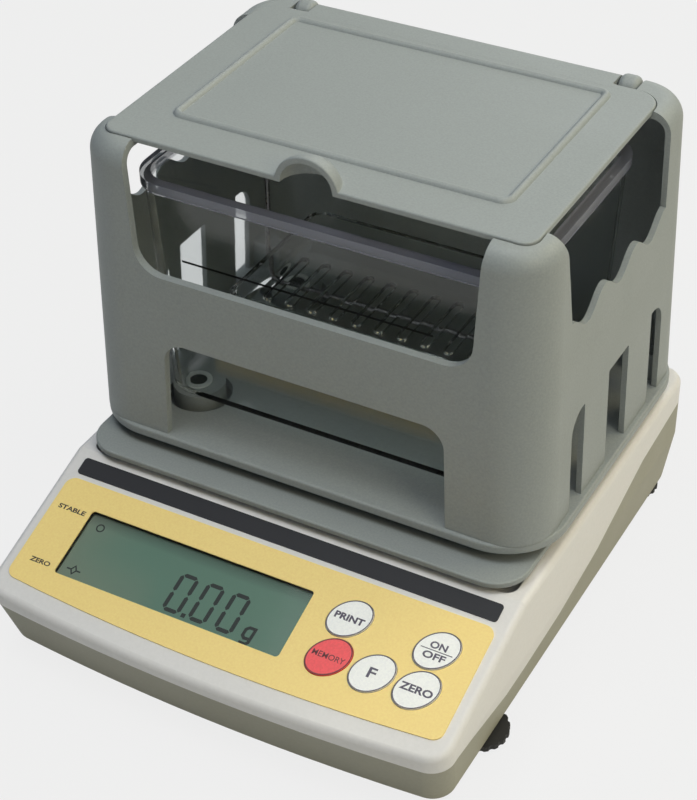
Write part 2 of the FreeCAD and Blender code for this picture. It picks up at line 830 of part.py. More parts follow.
def make_lcd_glass():
    top = -EPS - lcd_window_thickness - lcd_glass_gap
    glass = slab(rectangle_wire(lcd_left, lcd_right, -lcd_bottom, -lcd_top,
                                [lcd_glass_radius] * 4, top - lcd_glass_thickness),
                 lcd_glass_thickness)
    return on_panel(glass)


def lcd_slab(grown, radius, z0, height):
    """Slab of the display's outline, grown on every side."""
    return slab(rectangle_wire(lcd_left - grown, lcd_right + grown, -lcd_bottom - grown,
                               -lcd_top + grown, [radius] * 4, z0), height)


def make_lcd_frame():
    """Black frame that carries the display glass over the key board."""
    top = -EPS - lcd_window_thickness
    shoulder = -case_wall - lcd_frame_gap
    seat = top - lcd_glass_gap - lcd_glass_thickness
    base = lcd_slab(lcd_frame_width, lcd_frame_radius, -key_board_depth,
                    shoulder + key_board_depth)
    grown = lcd_window_lip - lcd_collar_gap
    collar = lcd_slab(grown, lcd_radius + grown, shoulder, top - shoulder)
    pocket = lcd_slab(lcd_pocket_gap, lcd_glass_radius, seat, 10)
    well = lcd_slab(-lcd_well_margin, lcd_glass_radius, -key_board_depth - 1, 10)
    return on_panel(fused([collar, base]).cut(group([pocket, well])))


def make_key_board():
    board = slab(rectangle_wire(-board_side, board_side, -board_low_edge, -board_high_edge,
                                [board_corner_radius] * 4, -key_board_depth - board_thickness),
                 board_thickness)
    holes = [rod(x, y, -30, 10, small_screw_hole) for x, y in key_board_posts]
    return on_panel(board.cut(group(holes)))


def make_key_board_screws():
    seat = -key_board_depth - board_thickness
    return on_panel(group([screw(x, y, seat, board_screw_length, small_screw_radius,
                                 board_screw_head, board_screw_head_height, True)
                           for x, y in key_board_posts]))


def key_board_post_solids():
    """Posts inside the upper case that the key board is screwed to."""
    return on_panel(fused([rod(x, y, -key_board_depth, -1, key_post_radius)
                           for x, y in key_board_posts]))


def make_key(x, y):
    """Oval cap with two tabs that hold it under the panel, and a stem over its switch."""
    cap = oval(x, y, key_long, key_short, key_cap_bottom, key_cap_thickness, key_turn)
    cap = cap.makeFillet(key_edge_radius, [
        edge for edge in cap.Edges
        if edge.BoundBox.ZMin > key_cap_bottom + key_cap_thickness - 0.1])
    tabs = oval(x, y, key_long + key_tab_reach, key_tab_half_width,
                key_cap_bottom - key_tab_thickness, key_tab_thickness, key_turn)
    low = switch_top + switch_button_height + key_travel + stem_gap
    stem = rod(x, y, low, key_cap_bottom, key_stem_radius)
    return on_panel(fused([cap, tabs, stem]))


def make_key_switches():
    switches = []
    half = switch_size / 2
    for x, y in key_places().values():
        body = box(x - half, x + half, y - half, y + half, -key_board_depth, switch_top)
        button = rod(x, y, switch_top - 1, switch_top + switch_button_height, switch_button_radius)
        switches.append(fused([body, button]))
    return on_panel(group(switches))


# ---- inside the case -------------------------------------------------------
def make_main_board():
    board = box(-main_board_half_width, main_board_half_width, main_board_front,
                main_board_rear, board_bottom, board_top)
    return board.cut(group([rod(x, y, 0, 60, standoff_bore + 0.2) for x, y in board_hole_places]))


def make_board_chips():
    chips = []
    for share, y, width, depth, height in chip_boxes:
        x = share * main_board_half_width
        front = main_board_front + y - depth / 2
        chips.append(box(x - width / 2, x + width / 2, front, front + depth, board_top,
                         board_top + height))
    return group(chips)


def make_standoffs():
    return group([rod(x, y, case_floor, board_bottom, standoff_radius)
                  .cut(rod(x, y, case_floor + standoff_floor, board_bottom + 1, standoff_bore))
                  for x, y in board_hole_places])


def make_board_screws():
    return group([screw(x, y, board_top, standoff_screw_length, standoff_bore - 2 * EPS,
                        standoff_screw_head, standoff_screw_head_height, False)
                  for x, y in board_hole_places])


def make_dc_jack():
    rear = case_rear - jack_wall_gap
    axis_z = board_top + jack_axis_height
    body = box(jack_x - jack_width / 2, jack_x + jack_width / 2, rear - jack_depth, rear,
               board_top, board_top + jack_height)
    barrel = Part.makeCylinder(jack_barrel_radius, jack_barrel_depth + 1,
                               V(jack_x, rear - jack_barrel_depth, axis_z), Y_AXIS)
    pin = Part.makeCylinder(jack_pin_radius, jack_pin_length,
                            V(jack_x, rear - jack_barrel_depth - 0.5, axis_z), Y_AXIS)
    return fused([body.cut(barrel), pin])


def make_serial_connector():
    """Nine-pin socket: flange against the case wall, metal shell and two rows of pins."""
    middle = board_top + serial_height / 2
    face = case_rear - serial_flange_inset
    half = serial_width / 2
    flange = box(serial_x - half, serial_x + half, face, face + serial_flange_thickness,
                 board_top, board_top + serial_height)
    block = box(serial_x - serial_block_half_width, serial_x + serial_block_half_width,
                face - serial_block_depth, face + EPS, board_top, board_top + serial_height)
    wide, high = serial_shell_half_width, serial_shell_half_height
    shell = box(serial_x - wide, serial_x + wide, face + 1, case_rear - serial_shell_inset,
                middle - high, middle + high)
    wide, high = wide - serial_shell_wall, high - serial_shell_wall
    shell = shell.cut(box(serial_x - wide, serial_x + wide, face + 1.6, case_rear + 1,
                          middle - high, middle + high))
    pins = []
    for count, z in ((5, middle + serial_row_half), (4, middle - serial_row_half)):
        for i in range(count):
            x = serial_x + (i - (count - 1) / 2) * serial_pin_pitch
            pins.append(Part.makeCylinder(serial_pin_radius, serial_pin_length,
                                          V(x, face + 1.4, z), Y_AXIS))
    return fused([flange, block, shell] + pins)


def make_load_cell():
    """Aluminium beam with the two joined holes that leave it thin at four places."""
    beam = box(-cell_half_length, cell_half_length, weigh_centre - cell_half_width,
               weigh_centre + cell_half_width, cell_bottom, cell_top)
    middle = (cell_bottom + cell_top) / 2
    cuts = []
    for x in (-cell_hole_offset, cell_hole_offset):
        cuts.append(Part.makeCylinder(cell_hole_radius, 2 * cell_half_width + 2,
                                      V(x, weigh_centre - cell_half_width - 1, middle), Y_AXIS))
    cuts.append(box(-cell_hole_offset, cell_hole_offset, weigh_centre - cell_half_width - 1,
                    weigh_centre + cell_half_width + 1, middle - cell_slot_half_height,
                    middle + cell_slot_half_height))
    for y in cell_screw_rows:
        cuts.append(rod(cell_mount_x, y, cell_bottom - 1, cell_bottom + cell_screw_depth,
                        cell_screw_radius))
    return beam.cut(group(cuts))


def make_cell_mount():
    block = box(-cell_half_length, -cell_half_length + cell_mount_length,
                weigh_centre - cell_half_width, weigh_centre + cell_half_width,
                case_floor + cell_pad_height, cell_bottom)
    return block.cut(group([rod(cell_mount_x, y, 0, cell_top, cell_screw_radius)
                            for y in cell_screw_rows]))


def make_cell_screws():
    seat = case_floor - 1
    length = cell_bottom + cell_screw_depth - cell_screw_end_gap - seat
    return group([screw(cell_mount_x, y, seat, length, cell_screw_radius - small_screw_bite,
                        2 * cell_screw_radius - shell_head_clearance, cell_screw_head_height, True)
                  for y in cell_screw_rows])


def make_overload_stop():
    """Adjusting screw that the load bracket meets when the tray is pressed too hard."""
    top = bracket_bottom - stop_gap
    corners = []
    for i in range(7):
        turn = math.radians(60 * i)
        corners.append(V(stop_screw_x + stop_nut_radius * math.cos(turn),
                         weigh_centre + stop_nut_radius * math.sin(turn), case_floor))
    nut = Part.Face(Part.makePolygon(corners)).extrude(V(0, 0, stop_nut_height))
    stud = rod(stop_screw_x, weigh_centre, case_bottom + 0.5, top,
               stop_screw_radius - small_screw_bite)
    return fused([stud, nut])


def make_load_bracket():
    y0, y1 = weigh_centre - bracket_half_width, weigh_centre + bracket_half_width
    plate = rectangle_wire(bracket_left, bracket_right, y0, y1, [bracket_radius] * 4,
                           bracket_bottom)
    return fused([slab(plate, bracket_thickness),
                  rod(0, weigh_centre, bracket_bottom, spider_bottom, post_radius)])


def make_shell_screws():
    length = shell_screw_top - 3 - shell_screw_seat
    return group([screw(x, y, shell_screw_seat, length, shell_screw_radius - shell_screw_bite,
                        shell_screw_head, shell_screw_head_height, True)
                  for x, y in shell_screw_places])


# ---- feet ------------------------------------------------------------------
def make_foot_pad(x, y):
    """Rubber pad, narrower at the bench."""
    pad = Part.makeCone(foot_pad_radius - foot_pad_narrowing, foot_pad_radius, foot_pad_height,
                        V(x, y, 0))
    bore = rod(x, y, foot_pad_height - 1, foot_pad_height + 1,
               foot_spigot_radius + foot_spigot_clearance)
    return pad.cut(bore)


def make_foot_knob(x, y):
    """Fluted knob that holds a stud; its spigot turns in the pad."""
    low = foot_pad_height + foot_gap
    radius = foot_front_radius if y < 0 else foot_rear_radius
    knob = rod(x, y, low, low + foot_knob_height, radius)
    flutes = []
    for i in range(foot_knob_flutes):
        angle = 2 * math.pi * i / foot_knob_flutes
        reach = radius + flute_offset
        flutes.append(rod(x + reach * math.cos(angle), y + reach * math.sin(angle),
                          low - 1, low + foot_knob_height + 1, flute_radius))
    spigot = rod(x, y, low - foot_spigot_length, low + 0.5, foot_spigot_radius)
    socket = rod(x, y, low + foot_stud_seat, low + foot_knob_height + 1, foot_stud_radius)
    return fused([knob.cut(group(flutes)), spigot]).cut(socket)


def make_foot_stud(x, y):
    low = foot_pad_height + foot_gap
    return rod(x, y, low + foot_stud_seat, low + foot_stud_length, foot_stud_radius)


# ---- stand plate, tank stand and tank --------------------------------------
def make_tank_stand():
    """Fixed plate on four pedestals, with the four bosses that carry the tank."""
    plate = rounded_slab(plate_half_width, plate_front, plate_rear, plate_bottom,
                         plate_thickness, plate_radius)
    top_edges = [edge for edge in plate.Edges if edge.BoundBox.ZMin > plate_top - 0.1]
    plate = plate.makeFillet(plate_edge_radius, top_edges)
    adds = [rod(x, y, recess_floor, plate_bottom + 1, pedestal_radius)
            for x, y in pedestal_places]
    adds += [rod(x, y, plate_bottom + 1, boss_top, boss_radius) for x, y in boss_places]
    body = fused([plate] + adds)
    cuts = [rod(0, weigh_centre, plate_bottom - 1, plate_top + 1, plate_hole_radius)]
    cuts += [rod(x, y, boss_top - ring_tube_length, boss_top + 1, ring_tube_radius)
             for x, y in boss_places]
    cuts += [rod(x, y, recess_floor - 1, recess_floor + recess_depth, small_screw_bore)
             for x, y in pedestal_places]
    return body.cut(group(cuts))


def make_stand_screws():
    return group([screw(x, y, recess_roof, stand_screw_length, small_screw_radius,
                        stand_screw_head, stand_screw_head_height, True)
                  for x, y in pedestal_places])


def make_boss_rings():
    """Bright flanged bushes pressed into the bosses; the tank stands on their rims."""
    rings = []
    for x, y in boss_places:
        ring = fused([rod(x, y, boss_top, tank_bottom, ring_outer_radius),
                      rod(x, y, boss_top - ring_tube_length, boss_top + EPS, ring_tube_radius)])
        rings.append(ring.cut(rod(x, y, boss_top - 20, boss_top + 2, ring_inner_radius)))
    return group(rings)


def tank_form(inset, z0, z1):
    """The tank's tapered block between two heights, moved inwards by the inset."""
    outlines = []
    for z in (z0, z1):
        lean = tank_lean * (tank_top - z) / (tank_top - tank_bottom)
        half = tank_half_width - lean - inset
        half_depth = tank_half_depth - lean - inset
        outlines.append(rectangle_wire(-half, half, weigh_centre - half_depth,
                                       weigh_centre + half_depth, [tank_radius - inset] * 4, z))
    return Part.makeLoft(outlines, True, True)


def make_tank():
    y0, y1 = weigh_centre - tank_half_depth, weigh_centre + tank_half_depth
    rim_bottom = tank_top - tank_rim_height
    outer = tank_form(0, tank_bottom, tank_top)
    foot_edges = [edge for edge in outer.Edges if edge.BoundBox.ZMax < tank_bottom + 0.1]
    outer = outer.makeFillet(tank_foot_radius, foot_edges)
    rim = rounded_slab(tank_half_width + tank_rim_width, y0 - tank_rim_width,
                       y1 + tank_rim_width, rim_bottom, tank_rim_height,
                       tank_radius + tank_rim_width)
    inner = tank_form(tank_wall, tank_bottom + tank_wall, tank_top + 5)
    return fused([outer, rim]).cut(inner)


# ---- weighing tray and draught shield --------------------------------------
def make_spider():
    hub = rod(0, weigh_centre, spider_bottom, spider_top, spider_hub_radius)
    arms = []
    for x, y in spider_places:
        end = V(x, y, spider_bottom)
        start = V(0, weigh_centre, spider_bottom)
        way = end - start
        way.normalize()
        across = V(-way.y, way.x, 0) * (spider_arm_width / 2)
        outline = [start + across, end + across, end - across, start - across, start + across]
        arms.append(Part.Face(Part.makePolygon(outline)).extrude(V(0, 0, spider_thickness)))
        arms.append(rod(x, y, spider_bottom, spider_top, spider_arm_width / 2))
    return fused([hub] + arms)


def make_spider_pads():
    return group([rod(x, y, spider_top, tray_bottom, spider_pad_radius)
                  for x, y in spider_places])


def make_weighing_tray():
    half = shield_half_bottom + tray_side_margin
    y0 = shield_front - tray_front_margin
    y1 = shield_rear_bottom + tray_rear_margin
    tray = rounded_slab(half, y0, y1, tray_bottom, tray_thickness, tray_radius)
    edges = [edge for edge in tray.Edges
             if edge.BoundBox.ZMin > tray_top - 0.1 or edge.BoundBox.ZMax < tray_bottom + 0.1]
    tray = tray.makeFillet(tray_edge_radius, edges)
    holes = [rod(x, y, tray_bottom - 1, tray_top + 1, boss_radius + tray_boss_clearance)
             for x, y in boss_places]
    for x, y in shield_screw_places:
        holes.append(rod(x, y, tray_bottom - 1, tray_top + 1,
                         shield_screw_radius + shield_screw_clearance))
        holes.append(rod(x, y, tray_bottom - 1, tray_bottom + tray_counterbore,
                         shield_screw_head + shell_head_clearance))
    return tray.cut(group(holes))


def shield_outline(z, inset, side_inset):
    share = (z - tray_top) / (shield_top - tray_top)
    half = shield_half_bottom + (shield_half_top - shield_half_bottom) * share - side_inset
    rear = shield_rear_bottom + (shield_rear_top - shield_rear_bottom) * share - inset
    front = shield_front + inset
    radius = shield_radius - inset
    return rectangle_wire(-half, half, front, rear, [radius] * 4, z)


def shield_form(inset, side_inset, z0, z1):
    return Part.makeLoft([shield_outline(z, inset, side_inset) for z in (z0, z1)], True, True)


def wave_cut():
    """Side opening above the wavy edge, drawn in XY as (y, z), then turned."""
    top = shield_top + 20
    rear = wave_front_bottom + wave_length * wave_count
    points = [V(wave_front_bottom, wave_middle + wave_height, 0)]
    steps = 8 * wave_count
    for i in range(1, steps + 1):
        y = wave_front_bottom + (rear - wave_front_bottom) * i / steps
        angle = 2 * math.pi * (y - wave_front_bottom) / wave_length
        points.append(V(y, wave_middle + wave_height * math.cos(angle), 0))
    curve = Part.BSplineCurve()
    curve.interpolate(points)
    first, last = points[0], points[-1]
    above_rear = V(rear, top, 0)
    lean = (wave_front_top - wave_front_bottom) / (shield_top - first.y)
    above_front = V(wave_front_bottom + lean * (top - first.y), top, 0)
    outline = Part.Wire([curve.toShape(),
                         Part.LineSegment(last, above_rear).toShape(),
                         Part.LineSegment(above_rear, above_front).toShape(),
                         Part.LineSegment(above_front, first).toShape()])
    return sideways(Part.Face(outline).extrude(V(0, 0, 2 * shield_half_bottom + 20))
                    .translated(V(0, 0, -shield_half_bottom - 10)))


def side_slots():
    """Three slots in each side wall, open down to the tray."""
    low = tray_top - 1
    reach = 2 * shield_half_bottom + 20
    shapes = []
    for span, radii in ((slot_front, [0, 0, slot_corner_radius, slot_radius]),
                        (slot_middle, [0, 0, slot_middle_radius, slot_middle_radius]),
                        (slot_rear, [0, 0, slot_radius, slot_corner_radius])):
        wire = rectangle_wire(span[0], span[1], low, slot_top, radii)
        solid = slab(wire, reach).translated(V(0, 0, -reach / 2))
        shapes.append(sideways(solid))
    return shapes


def front_cut(half_bottom, half_top, low, high, radii, depth):
    """Opening in the front wall, drawn in XY as (x, z), then turned."""
    wire = rounded_wire([(-half_bottom, low), (half_bottom, low), (half_top, high),
                         (-half_top, high)], radii)
    solid = slab(wire, depth)
    placed = standing(solid)
    placed.translate(V(0, shield_front + depth - 5, 0))
    return placed


def make_draught_shield():
    form = shield_form(0, 0, tray_top, shield_top)
    top_edges = [edge for edge in form.Edges if edge.BoundBox.ZMin > shield_top - 0.1]
    form = form.makeFillet(shield_edge_radius, top_edges)
    core = shield_form(shield_wall, shield_side_wall, tray_top - 1, shield_top - shield_wall)
    core_edges = [edge for edge in core.Edges
                  if edge.BoundBox.ZMin > shield_top - shield_wall - 0.1]
    core = core.makeFillet(shield_edge_radius - shield_wall, core_edges)
    shell = form.cut(core)
    rear_inner = shield_rear_top - shield_wall
    rail = box(-shield_half_top + shield_side_wall, shield_half_top - shield_side_wall,
               rear_inner - rail_thickness, rear_inner + 2, shield_top - rail_drop, barrel_cut)
    blocks = []
    size = shield_boss_size
    for x, y in shield_screw_places:
        x0, x1 = sorted((x + math.copysign(size, x), x - math.copysign(size / 2, x)))
        blocks.append(box(x0, x1, y - size / 2, y + size / 2, tray_top,
                          tray_top + shield_screw_depth + shield_boss_cap))
    knuckles = []
    for side in (-1, 1):
        x0, x1 = sorted((side * knuckle_inner, side * knuckle_outer))
        lug = box(x0, x1, hinge_y - knuckle_radius, hinge_y + knuckle_radius,
                  barrel_cut - knuckle_depth, hinge_z)
        eye = Part.makeCylinder(knuckle_radius, x1 - x0, V(x0, hinge_y, hinge_z), X_AXIS)
        rims = [edge for edge in eye.Edges if edge.BoundBox.XLength < EPS]
        eye = eye.makeFillet(knuckle_edge_radius, rims)
        knuckles.append(fused([lug, eye]))
    inside = form.common(box(-300, 300, -300, 300, 0, barrel_cut + 1))
    shell = fused([shell] + [part.common(inside) for part in [rail] + blocks])
    ledge = lid_ledge
    well = rounded_slab(lid_half_width - ledge, lid_front + ledge, lid_ear_rear - ledge + 2,
                        shield_top - shield_edge_radius - lid_well_depth, 40, lid_well_radius)
    rebate = rounded_slab(lid_half_width + lid_clearance, lid_front - lid_clearance,
                          lid_ear_rear + lid_ear_clearance, lid_bottom - lid_seat_gap, 10,
                          lid_front_radius + lid_clearance, lid_rear_radius + lid_ear_clearance)
    barrel_half = knuckle_outer + knuckle_side_gap
    barrel_space = box(-barrel_half, barrel_half, lid_ear_rear - 3, shield_rear_bottom + 5,
                       barrel_cut, shield_top + 10)
    window = front_cut(window_half_bottom, window_half_top, window_bottom, shield_top + 12,
                       [window_radius, window_radius, 0, 0], 26)
    port = front_cut(port_half_bottom, port_half_top, tray_top - 1, port_top,
                     [0, 0, port_radius, port_radius], 12)
    shell = shell.cut(group([well, rebate, barrel_space]))
    shell = shell.cut(window).cut(port).cut(wave_cut())
    shell = shell.cut(group(side_slots()))
    shell = fused([shell] + knuckles)
    pins = [Part.makeCylinder(hinge_pin_radius, hinge_pin_length,
                              V(side * (knuckle_outer + 1) - (hinge_pin_length if side > 0 else 0),
                                hinge_y, hinge_z), X_AXIS) for side in (-1, 1)]
    holes = [rod(x, y, tray_top - 1, tray_top + shield_screw_depth,
                 shield_screw_radius - shield_screw_bite) for x, y in shield_screw_places]
    return shell.cut(group(pins + holes))


def make_shield_screws():
    seat = tray_bottom + tray_counterbore
    length = tray_top - seat + shield_screw_depth - 1
    return group([screw(x, y, seat, length, shield_screw_radius - 2 * shield_screw_bite,
                        shield_screw_head, shield_screw_head_height, True)
                  for x, y in shield_screw_places])


def make_hinge_pins():
    length = hinge_pin_length - hinge_pin_end_gap
    pins = []
    for side in (-1, 1):
        start = side * knuckle_outer - (length if side > 0 else 0)
        pins.append(Part.makeCylinder(hinge_pin_radius, length, V(start, hinge_y, hinge_z),
                                      X_AXIS))
    return group(pins)


# ---- lid -------------------------------------------------------------------
def half_dome(radius, height):
    """Rear half of a low dome of revolution on the lid's front edge."""
    ellipse = Part.Ellipse(V(0, 0, 0), radius, height)
    outline = Part.Wire([Part.ArcOfEllipse(ellipse, 0, math.pi / 2).toShape(),
                         Part.LineSegment(V(0, height, 0), V(0, 0, 0)).toShape(),
                         Part.LineSegment(V(0, 0, 0), V(radius, 0, 0)).toShape()])
    profile = standing(Part.Face(outline))
    dome = profile.revolve(V(0, 0, 0), Z_AXIS, 180)
    dome.translate(V(0, lid_front, lid_bottom))
    return dome


def make_lid():
    plate = rounded_slab(lid_half_width, lid_front, lid_ear_rear, lid_bottom, lid_thickness,
                         lid_front_radius, lid_rear_radius)
    tongue_half = knuckle_inner - hinge_gap
    tongue = box(-tongue_half, tongue_half, lid_ear_rear - 1, hinge_y, lid_bottom, lid_top)
    barrel = Part.makeCylinder(hinge_barrel_radius, 2 * tongue_half,
                               V(-tongue_half, hinge_y, hinge_z), X_AXIS)
    bead = rounded_slab(bead_half_width, bead_front, bead_rear, lid_top - EPS,
                        bead_height + EPS, bead_radius)
    bead_inner = rounded_slab(bead_half_width - bead_width, bead_front + bead_width,
                              bead_rear - bead_width, lid_top - 1, 5, bead_radius - bead_width)
    bead = bead.cut(bead_inner)
    hood = half_dome(hood_radius, hood_height + lid_thickness)
    arch = half_dome(hood_radius - hood_shell, hood_height + lid_thickness - hood_shell)
    body = fused([plate, tongue, barrel, bead, hood]).cut(arch)
    pin_bores = []
    bore_length = hinge_pin_length - knuckle_length
    for side in (-1, 1):
        start = side * (tongue_half + 1) - (bore_length + 1 if side > 0 else 0)
        pin_bores.append(Part.makeCylinder(hinge_pin_radius + hinge_pin_clearance,
                                           bore_length + 1, V(start, hinge_y, hinge_z), X_AXIS))
    return body.cut(group(pin_bores))


# ---- basket ----------------------------------------------------------------
def make_basket():
    y0, y1 = weigh_centre - basket_half_depth, weigh_centre + basket_half_depth
    outer = rounded_slab(basket_half_width, y0, y1, basket_floor,
                         basket_thickness + basket_wall_height, basket_radius)
    outer = outer.makeFillet(basket_edge_radius, [edge for edge in outer.Edges
                                                  if edge.BoundBox.ZMax < basket_floor + 0.1])
    wall = basket_thickness
    inner = rounded_slab(basket_half_width - wall, y0 + wall, y1 - wall,
                         basket_floor + basket_thickness, 30, basket_radius - wall)
    slots = []
    half = basket_slot_width / 2
    for i in range(basket_slot_count):
        share = 2 * i / (basket_slot_count - 1) - 1
        x = share * (basket_half_width - basket_slot_margin)
        wire = rectangle_wire(x - half, x + half, weigh_centre - basket_slot_length / 2,
                              weigh_centre + basket_slot_length / 2, [half - 2 * EPS] * 4,
                              basket_floor - 1)
        slots.append(slab(wire, basket_thickness + 2))
    return outer.cut(inner).cut(group(slots))


def make_hanger_rails():
    """Two rods that stand out forwards from the rear rail of the draught shield."""
    y0 = weigh_centre - rod_overhang
    y1 = shield_rear_top - shield_wall - rail_thickness
    rods = []
    for x in (-rod_x, rod_x):
        start = V(x, y0, rod_z)
        end = V(x, y1 - rod_collar_length, rod_z)
        rods.append(fused([Part.makeCylinder(rod_radius, y1 - y0, start, Y_AXIS),
                           Part.makeCylinder(rod_collar_radius, rod_collar_length, start, Y_AXIS),
                           Part.makeCylinder(rod_collar_radius, rod_collar_length, end, Y_AXIS)]))
    return group(rods)


def make_basket_hanger():
    """One bent wire: two straight ends lie on the rods, its loop runs under the basket."""
    top = rod_z + rod_radius + wire_radius
    reach = rod_x + yoke_overhang
    low = basket_floor - wire_radius
    x = basket_half_width + wire_radius
    bend = wire_bend
    cut = bend * (1 - math.sqrt(0.5))
    y = weigh_centre

    def line(x0, z0, x1, z1):
        return Part.LineSegment(V(x0, y, z0), V(x1, y, z1)).toShape()

    def corner(x0, z0, xm, zm, x1, z1):
        return Part.Arc(V(x0, y, z0), V(xm, y, zm), V(x1, y, z1)).toShape()

    path = Part.Wire([
        line(-reach, top, -x - bend, top),
        corner(-x - bend, top, -x - cut, top - cut, -x, top - bend),
        line(-x, top - bend, -x, low + bend),
        corner(-x, low + bend, -x + cut, low + cut, -x + bend, low),
        line(-x + bend, low, x - bend, low),
        corner(x - bend, low, x - cut, low + cut, x, low + bend),
        line(x, low + bend, x, top - bend),
        corner(x, top - bend, x + cut, top - cut, x + bend, top),
        line(x + bend, top, reach, top)])
    ring = Part.Wire([Part.Circle(V(-reach, y, top), X_AXIS, wire_radius).toShape()])
    return path.makePipeShell([ring], True, True)


# ---- write every piece -----------------------------------------------------
def build():
    lower, upper, hollow, under = case_shells()
    pieces = {
        "lower_case": make_lower_case(lower, hollow, under),
        "upper_case": make_upper_case(upper),
        "panel_overlay": make_panel_overlay(),
        "title_strip": make_title_strip(),
        "lcd_window": make_lcd_window(),
        "lcd_glass": make_lcd_glass(),
        "lcd_frame": make_lcd_frame(),
        "key_board": make_key_board(),
        "key_board_screws": make_key_board_screws(),
        "key_switches": make_key_switches(),
        "main_board": make_main_board(),
        "board_chips": make_board_chips(),
        "board_standoffs": make_standoffs(),
        "board_screws": make_board_screws(),
        "dc_jack": make_dc_jack(),
        "serial_connector": make_serial_connector(),
        "load_cell": make_load_cell(),
        "load_cell_mount": make_cell_mount(),
        "load_cell_screws": make_cell_screws(),
        "overload_stop": make_overload_stop(),
        "case_screws": make_shell_screws(),
        "tank_stand": make_tank_stand(),
        "stand_screws": make_stand_screws(),
        "boss_rings": make_boss_rings(),
        "tank": make_tank(),
        "load_bracket": make_load_bracket(),
        "spider": make_spider(),
        "spider_pads": make_spider_pads(),
        "weighing_tray": make_weighing_tray(),
        "draught_shield": make_draught_shield(),
        "shield_screws": make_shield_screws(),
        "hinge_pins": make_hinge_pins(),
        "lid": make_lid(),
        "basket": make_basket(),
        "basket_hanger": make_basket_hanger(),
        "hanger_rails": make_hanger_rails(),
    }
    for name, (x, y) in key_places().items():
        pieces["key_" + name] = make_key(x, y)
    for name, (x, y) in foot_places().items():
        pieces["foot_pad_" + name] = make_foot_pad(x, y)
        pieces["foot_knob_" + name] = make_foot_knob(x, y)
        pieces["foot_stud_" + name] = make_foot_stud(x, y)
    return pieces


def main():
    os.makedirs("parts", exist_ok=True)
    for name, shape in build().items():
        shape.exportStep("parts/" + name + ".step")
        print(name, "solids", len(shape.Solids), "valid", shape.isValid(),
              "volume", round(shape.Volume, 1))


main()
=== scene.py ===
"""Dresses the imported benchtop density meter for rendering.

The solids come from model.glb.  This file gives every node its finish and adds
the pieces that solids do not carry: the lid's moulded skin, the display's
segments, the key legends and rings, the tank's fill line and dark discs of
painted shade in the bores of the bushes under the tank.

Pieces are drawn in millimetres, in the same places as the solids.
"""

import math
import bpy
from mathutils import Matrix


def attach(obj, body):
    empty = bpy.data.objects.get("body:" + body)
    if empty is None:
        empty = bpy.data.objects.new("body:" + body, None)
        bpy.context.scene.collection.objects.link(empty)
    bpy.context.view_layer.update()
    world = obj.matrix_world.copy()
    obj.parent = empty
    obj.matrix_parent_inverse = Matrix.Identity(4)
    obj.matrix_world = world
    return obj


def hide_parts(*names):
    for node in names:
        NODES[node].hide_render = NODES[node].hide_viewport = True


bl_info = {
    "name": "Benchtop density meter",
    "version": (1, 0, 0),
    "blender": (4, 5, 0),
    "location": "3D View > Sidebar > Density meter",
    "description": "Finishes, display, legends and lid skin for a benchtop density meter",
    "category": "Object",
}

import bpy
import numpy as np
from mathutils import Matrix, Vector

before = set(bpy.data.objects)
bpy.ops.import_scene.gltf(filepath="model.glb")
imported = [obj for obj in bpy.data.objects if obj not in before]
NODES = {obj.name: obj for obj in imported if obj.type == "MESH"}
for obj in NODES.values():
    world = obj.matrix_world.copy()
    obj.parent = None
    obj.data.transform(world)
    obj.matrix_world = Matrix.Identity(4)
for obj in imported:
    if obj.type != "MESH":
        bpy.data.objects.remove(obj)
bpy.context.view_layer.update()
MM = 0.001
# Values of a noise texture between which its two colours or levels are blended.
NOISE_LOW = 0.3
NOISE_HIGH = 0.7

# Control panel: it slopes down to the operator from a ridge across the case.
PANEL_TILT = math.radians(18.9)
PANEL_RIDGE_Y = -44.0
PANEL_RIDGE_Z = 54.5
OVERLAY_FACE = 0.5
GLASS_FACE = -1.61
# The display's upper edge, and the depth in millimetres of the shade painted into its colour
# below that edge.
DISPLAY_TOP_Y = -66.0
DISPLAY_PAINTED_SHADE = 5.0
DISPLAY_PALE_X = -80.0
DISPLAY_DARK_X = 20.0
KEY_FACE = 0.95
PRINT_LIFT = 0.03
KEY_PLACES = {"print": (39.8, -29.1), "on_off": (74.2, -29.1), "memory": (39.8, -45.5),
              "function": (57.0, -45.5), "zero": (74.2, -45.5)}
KEY_LONG = 8.8
KEY_SHORT = 7.0
KEY_TURN = math.radians(45.0)

# Camera, by where it looks and where the anchor point lies in its view.
VIEW_AZIMUTH = math.radians(29.10)
VIEW_ELEVATION = math.radians(36.87)
VIEW_ROLL = math.radians(0.72)
VIEW_ANCHOR = Vector((0.0, -47.5, 53.3))
VIEW_OFFSET = (-22.91, 47.04, 724.28)
VIEW_LENS = 88.86


def tone(red, green, blue):
    """Scene-linear colour of a display colour given in 0 to 255."""
    levels = np.array([red, green, blue]) / 255.0
    linear = np.where(levels <= 0.04045, levels / 12.92, ((levels + 0.055) / 1.055) ** 2.4)
    return tuple(float(level) for level in linear)


def colour_property(name, description, red, green, blue):
    return bpy.props.FloatVectorProperty(name=name, description=description, size=3, min=0.0,
                                         max=1.0, subtype="COLOR", default=tone(red, green, blue))


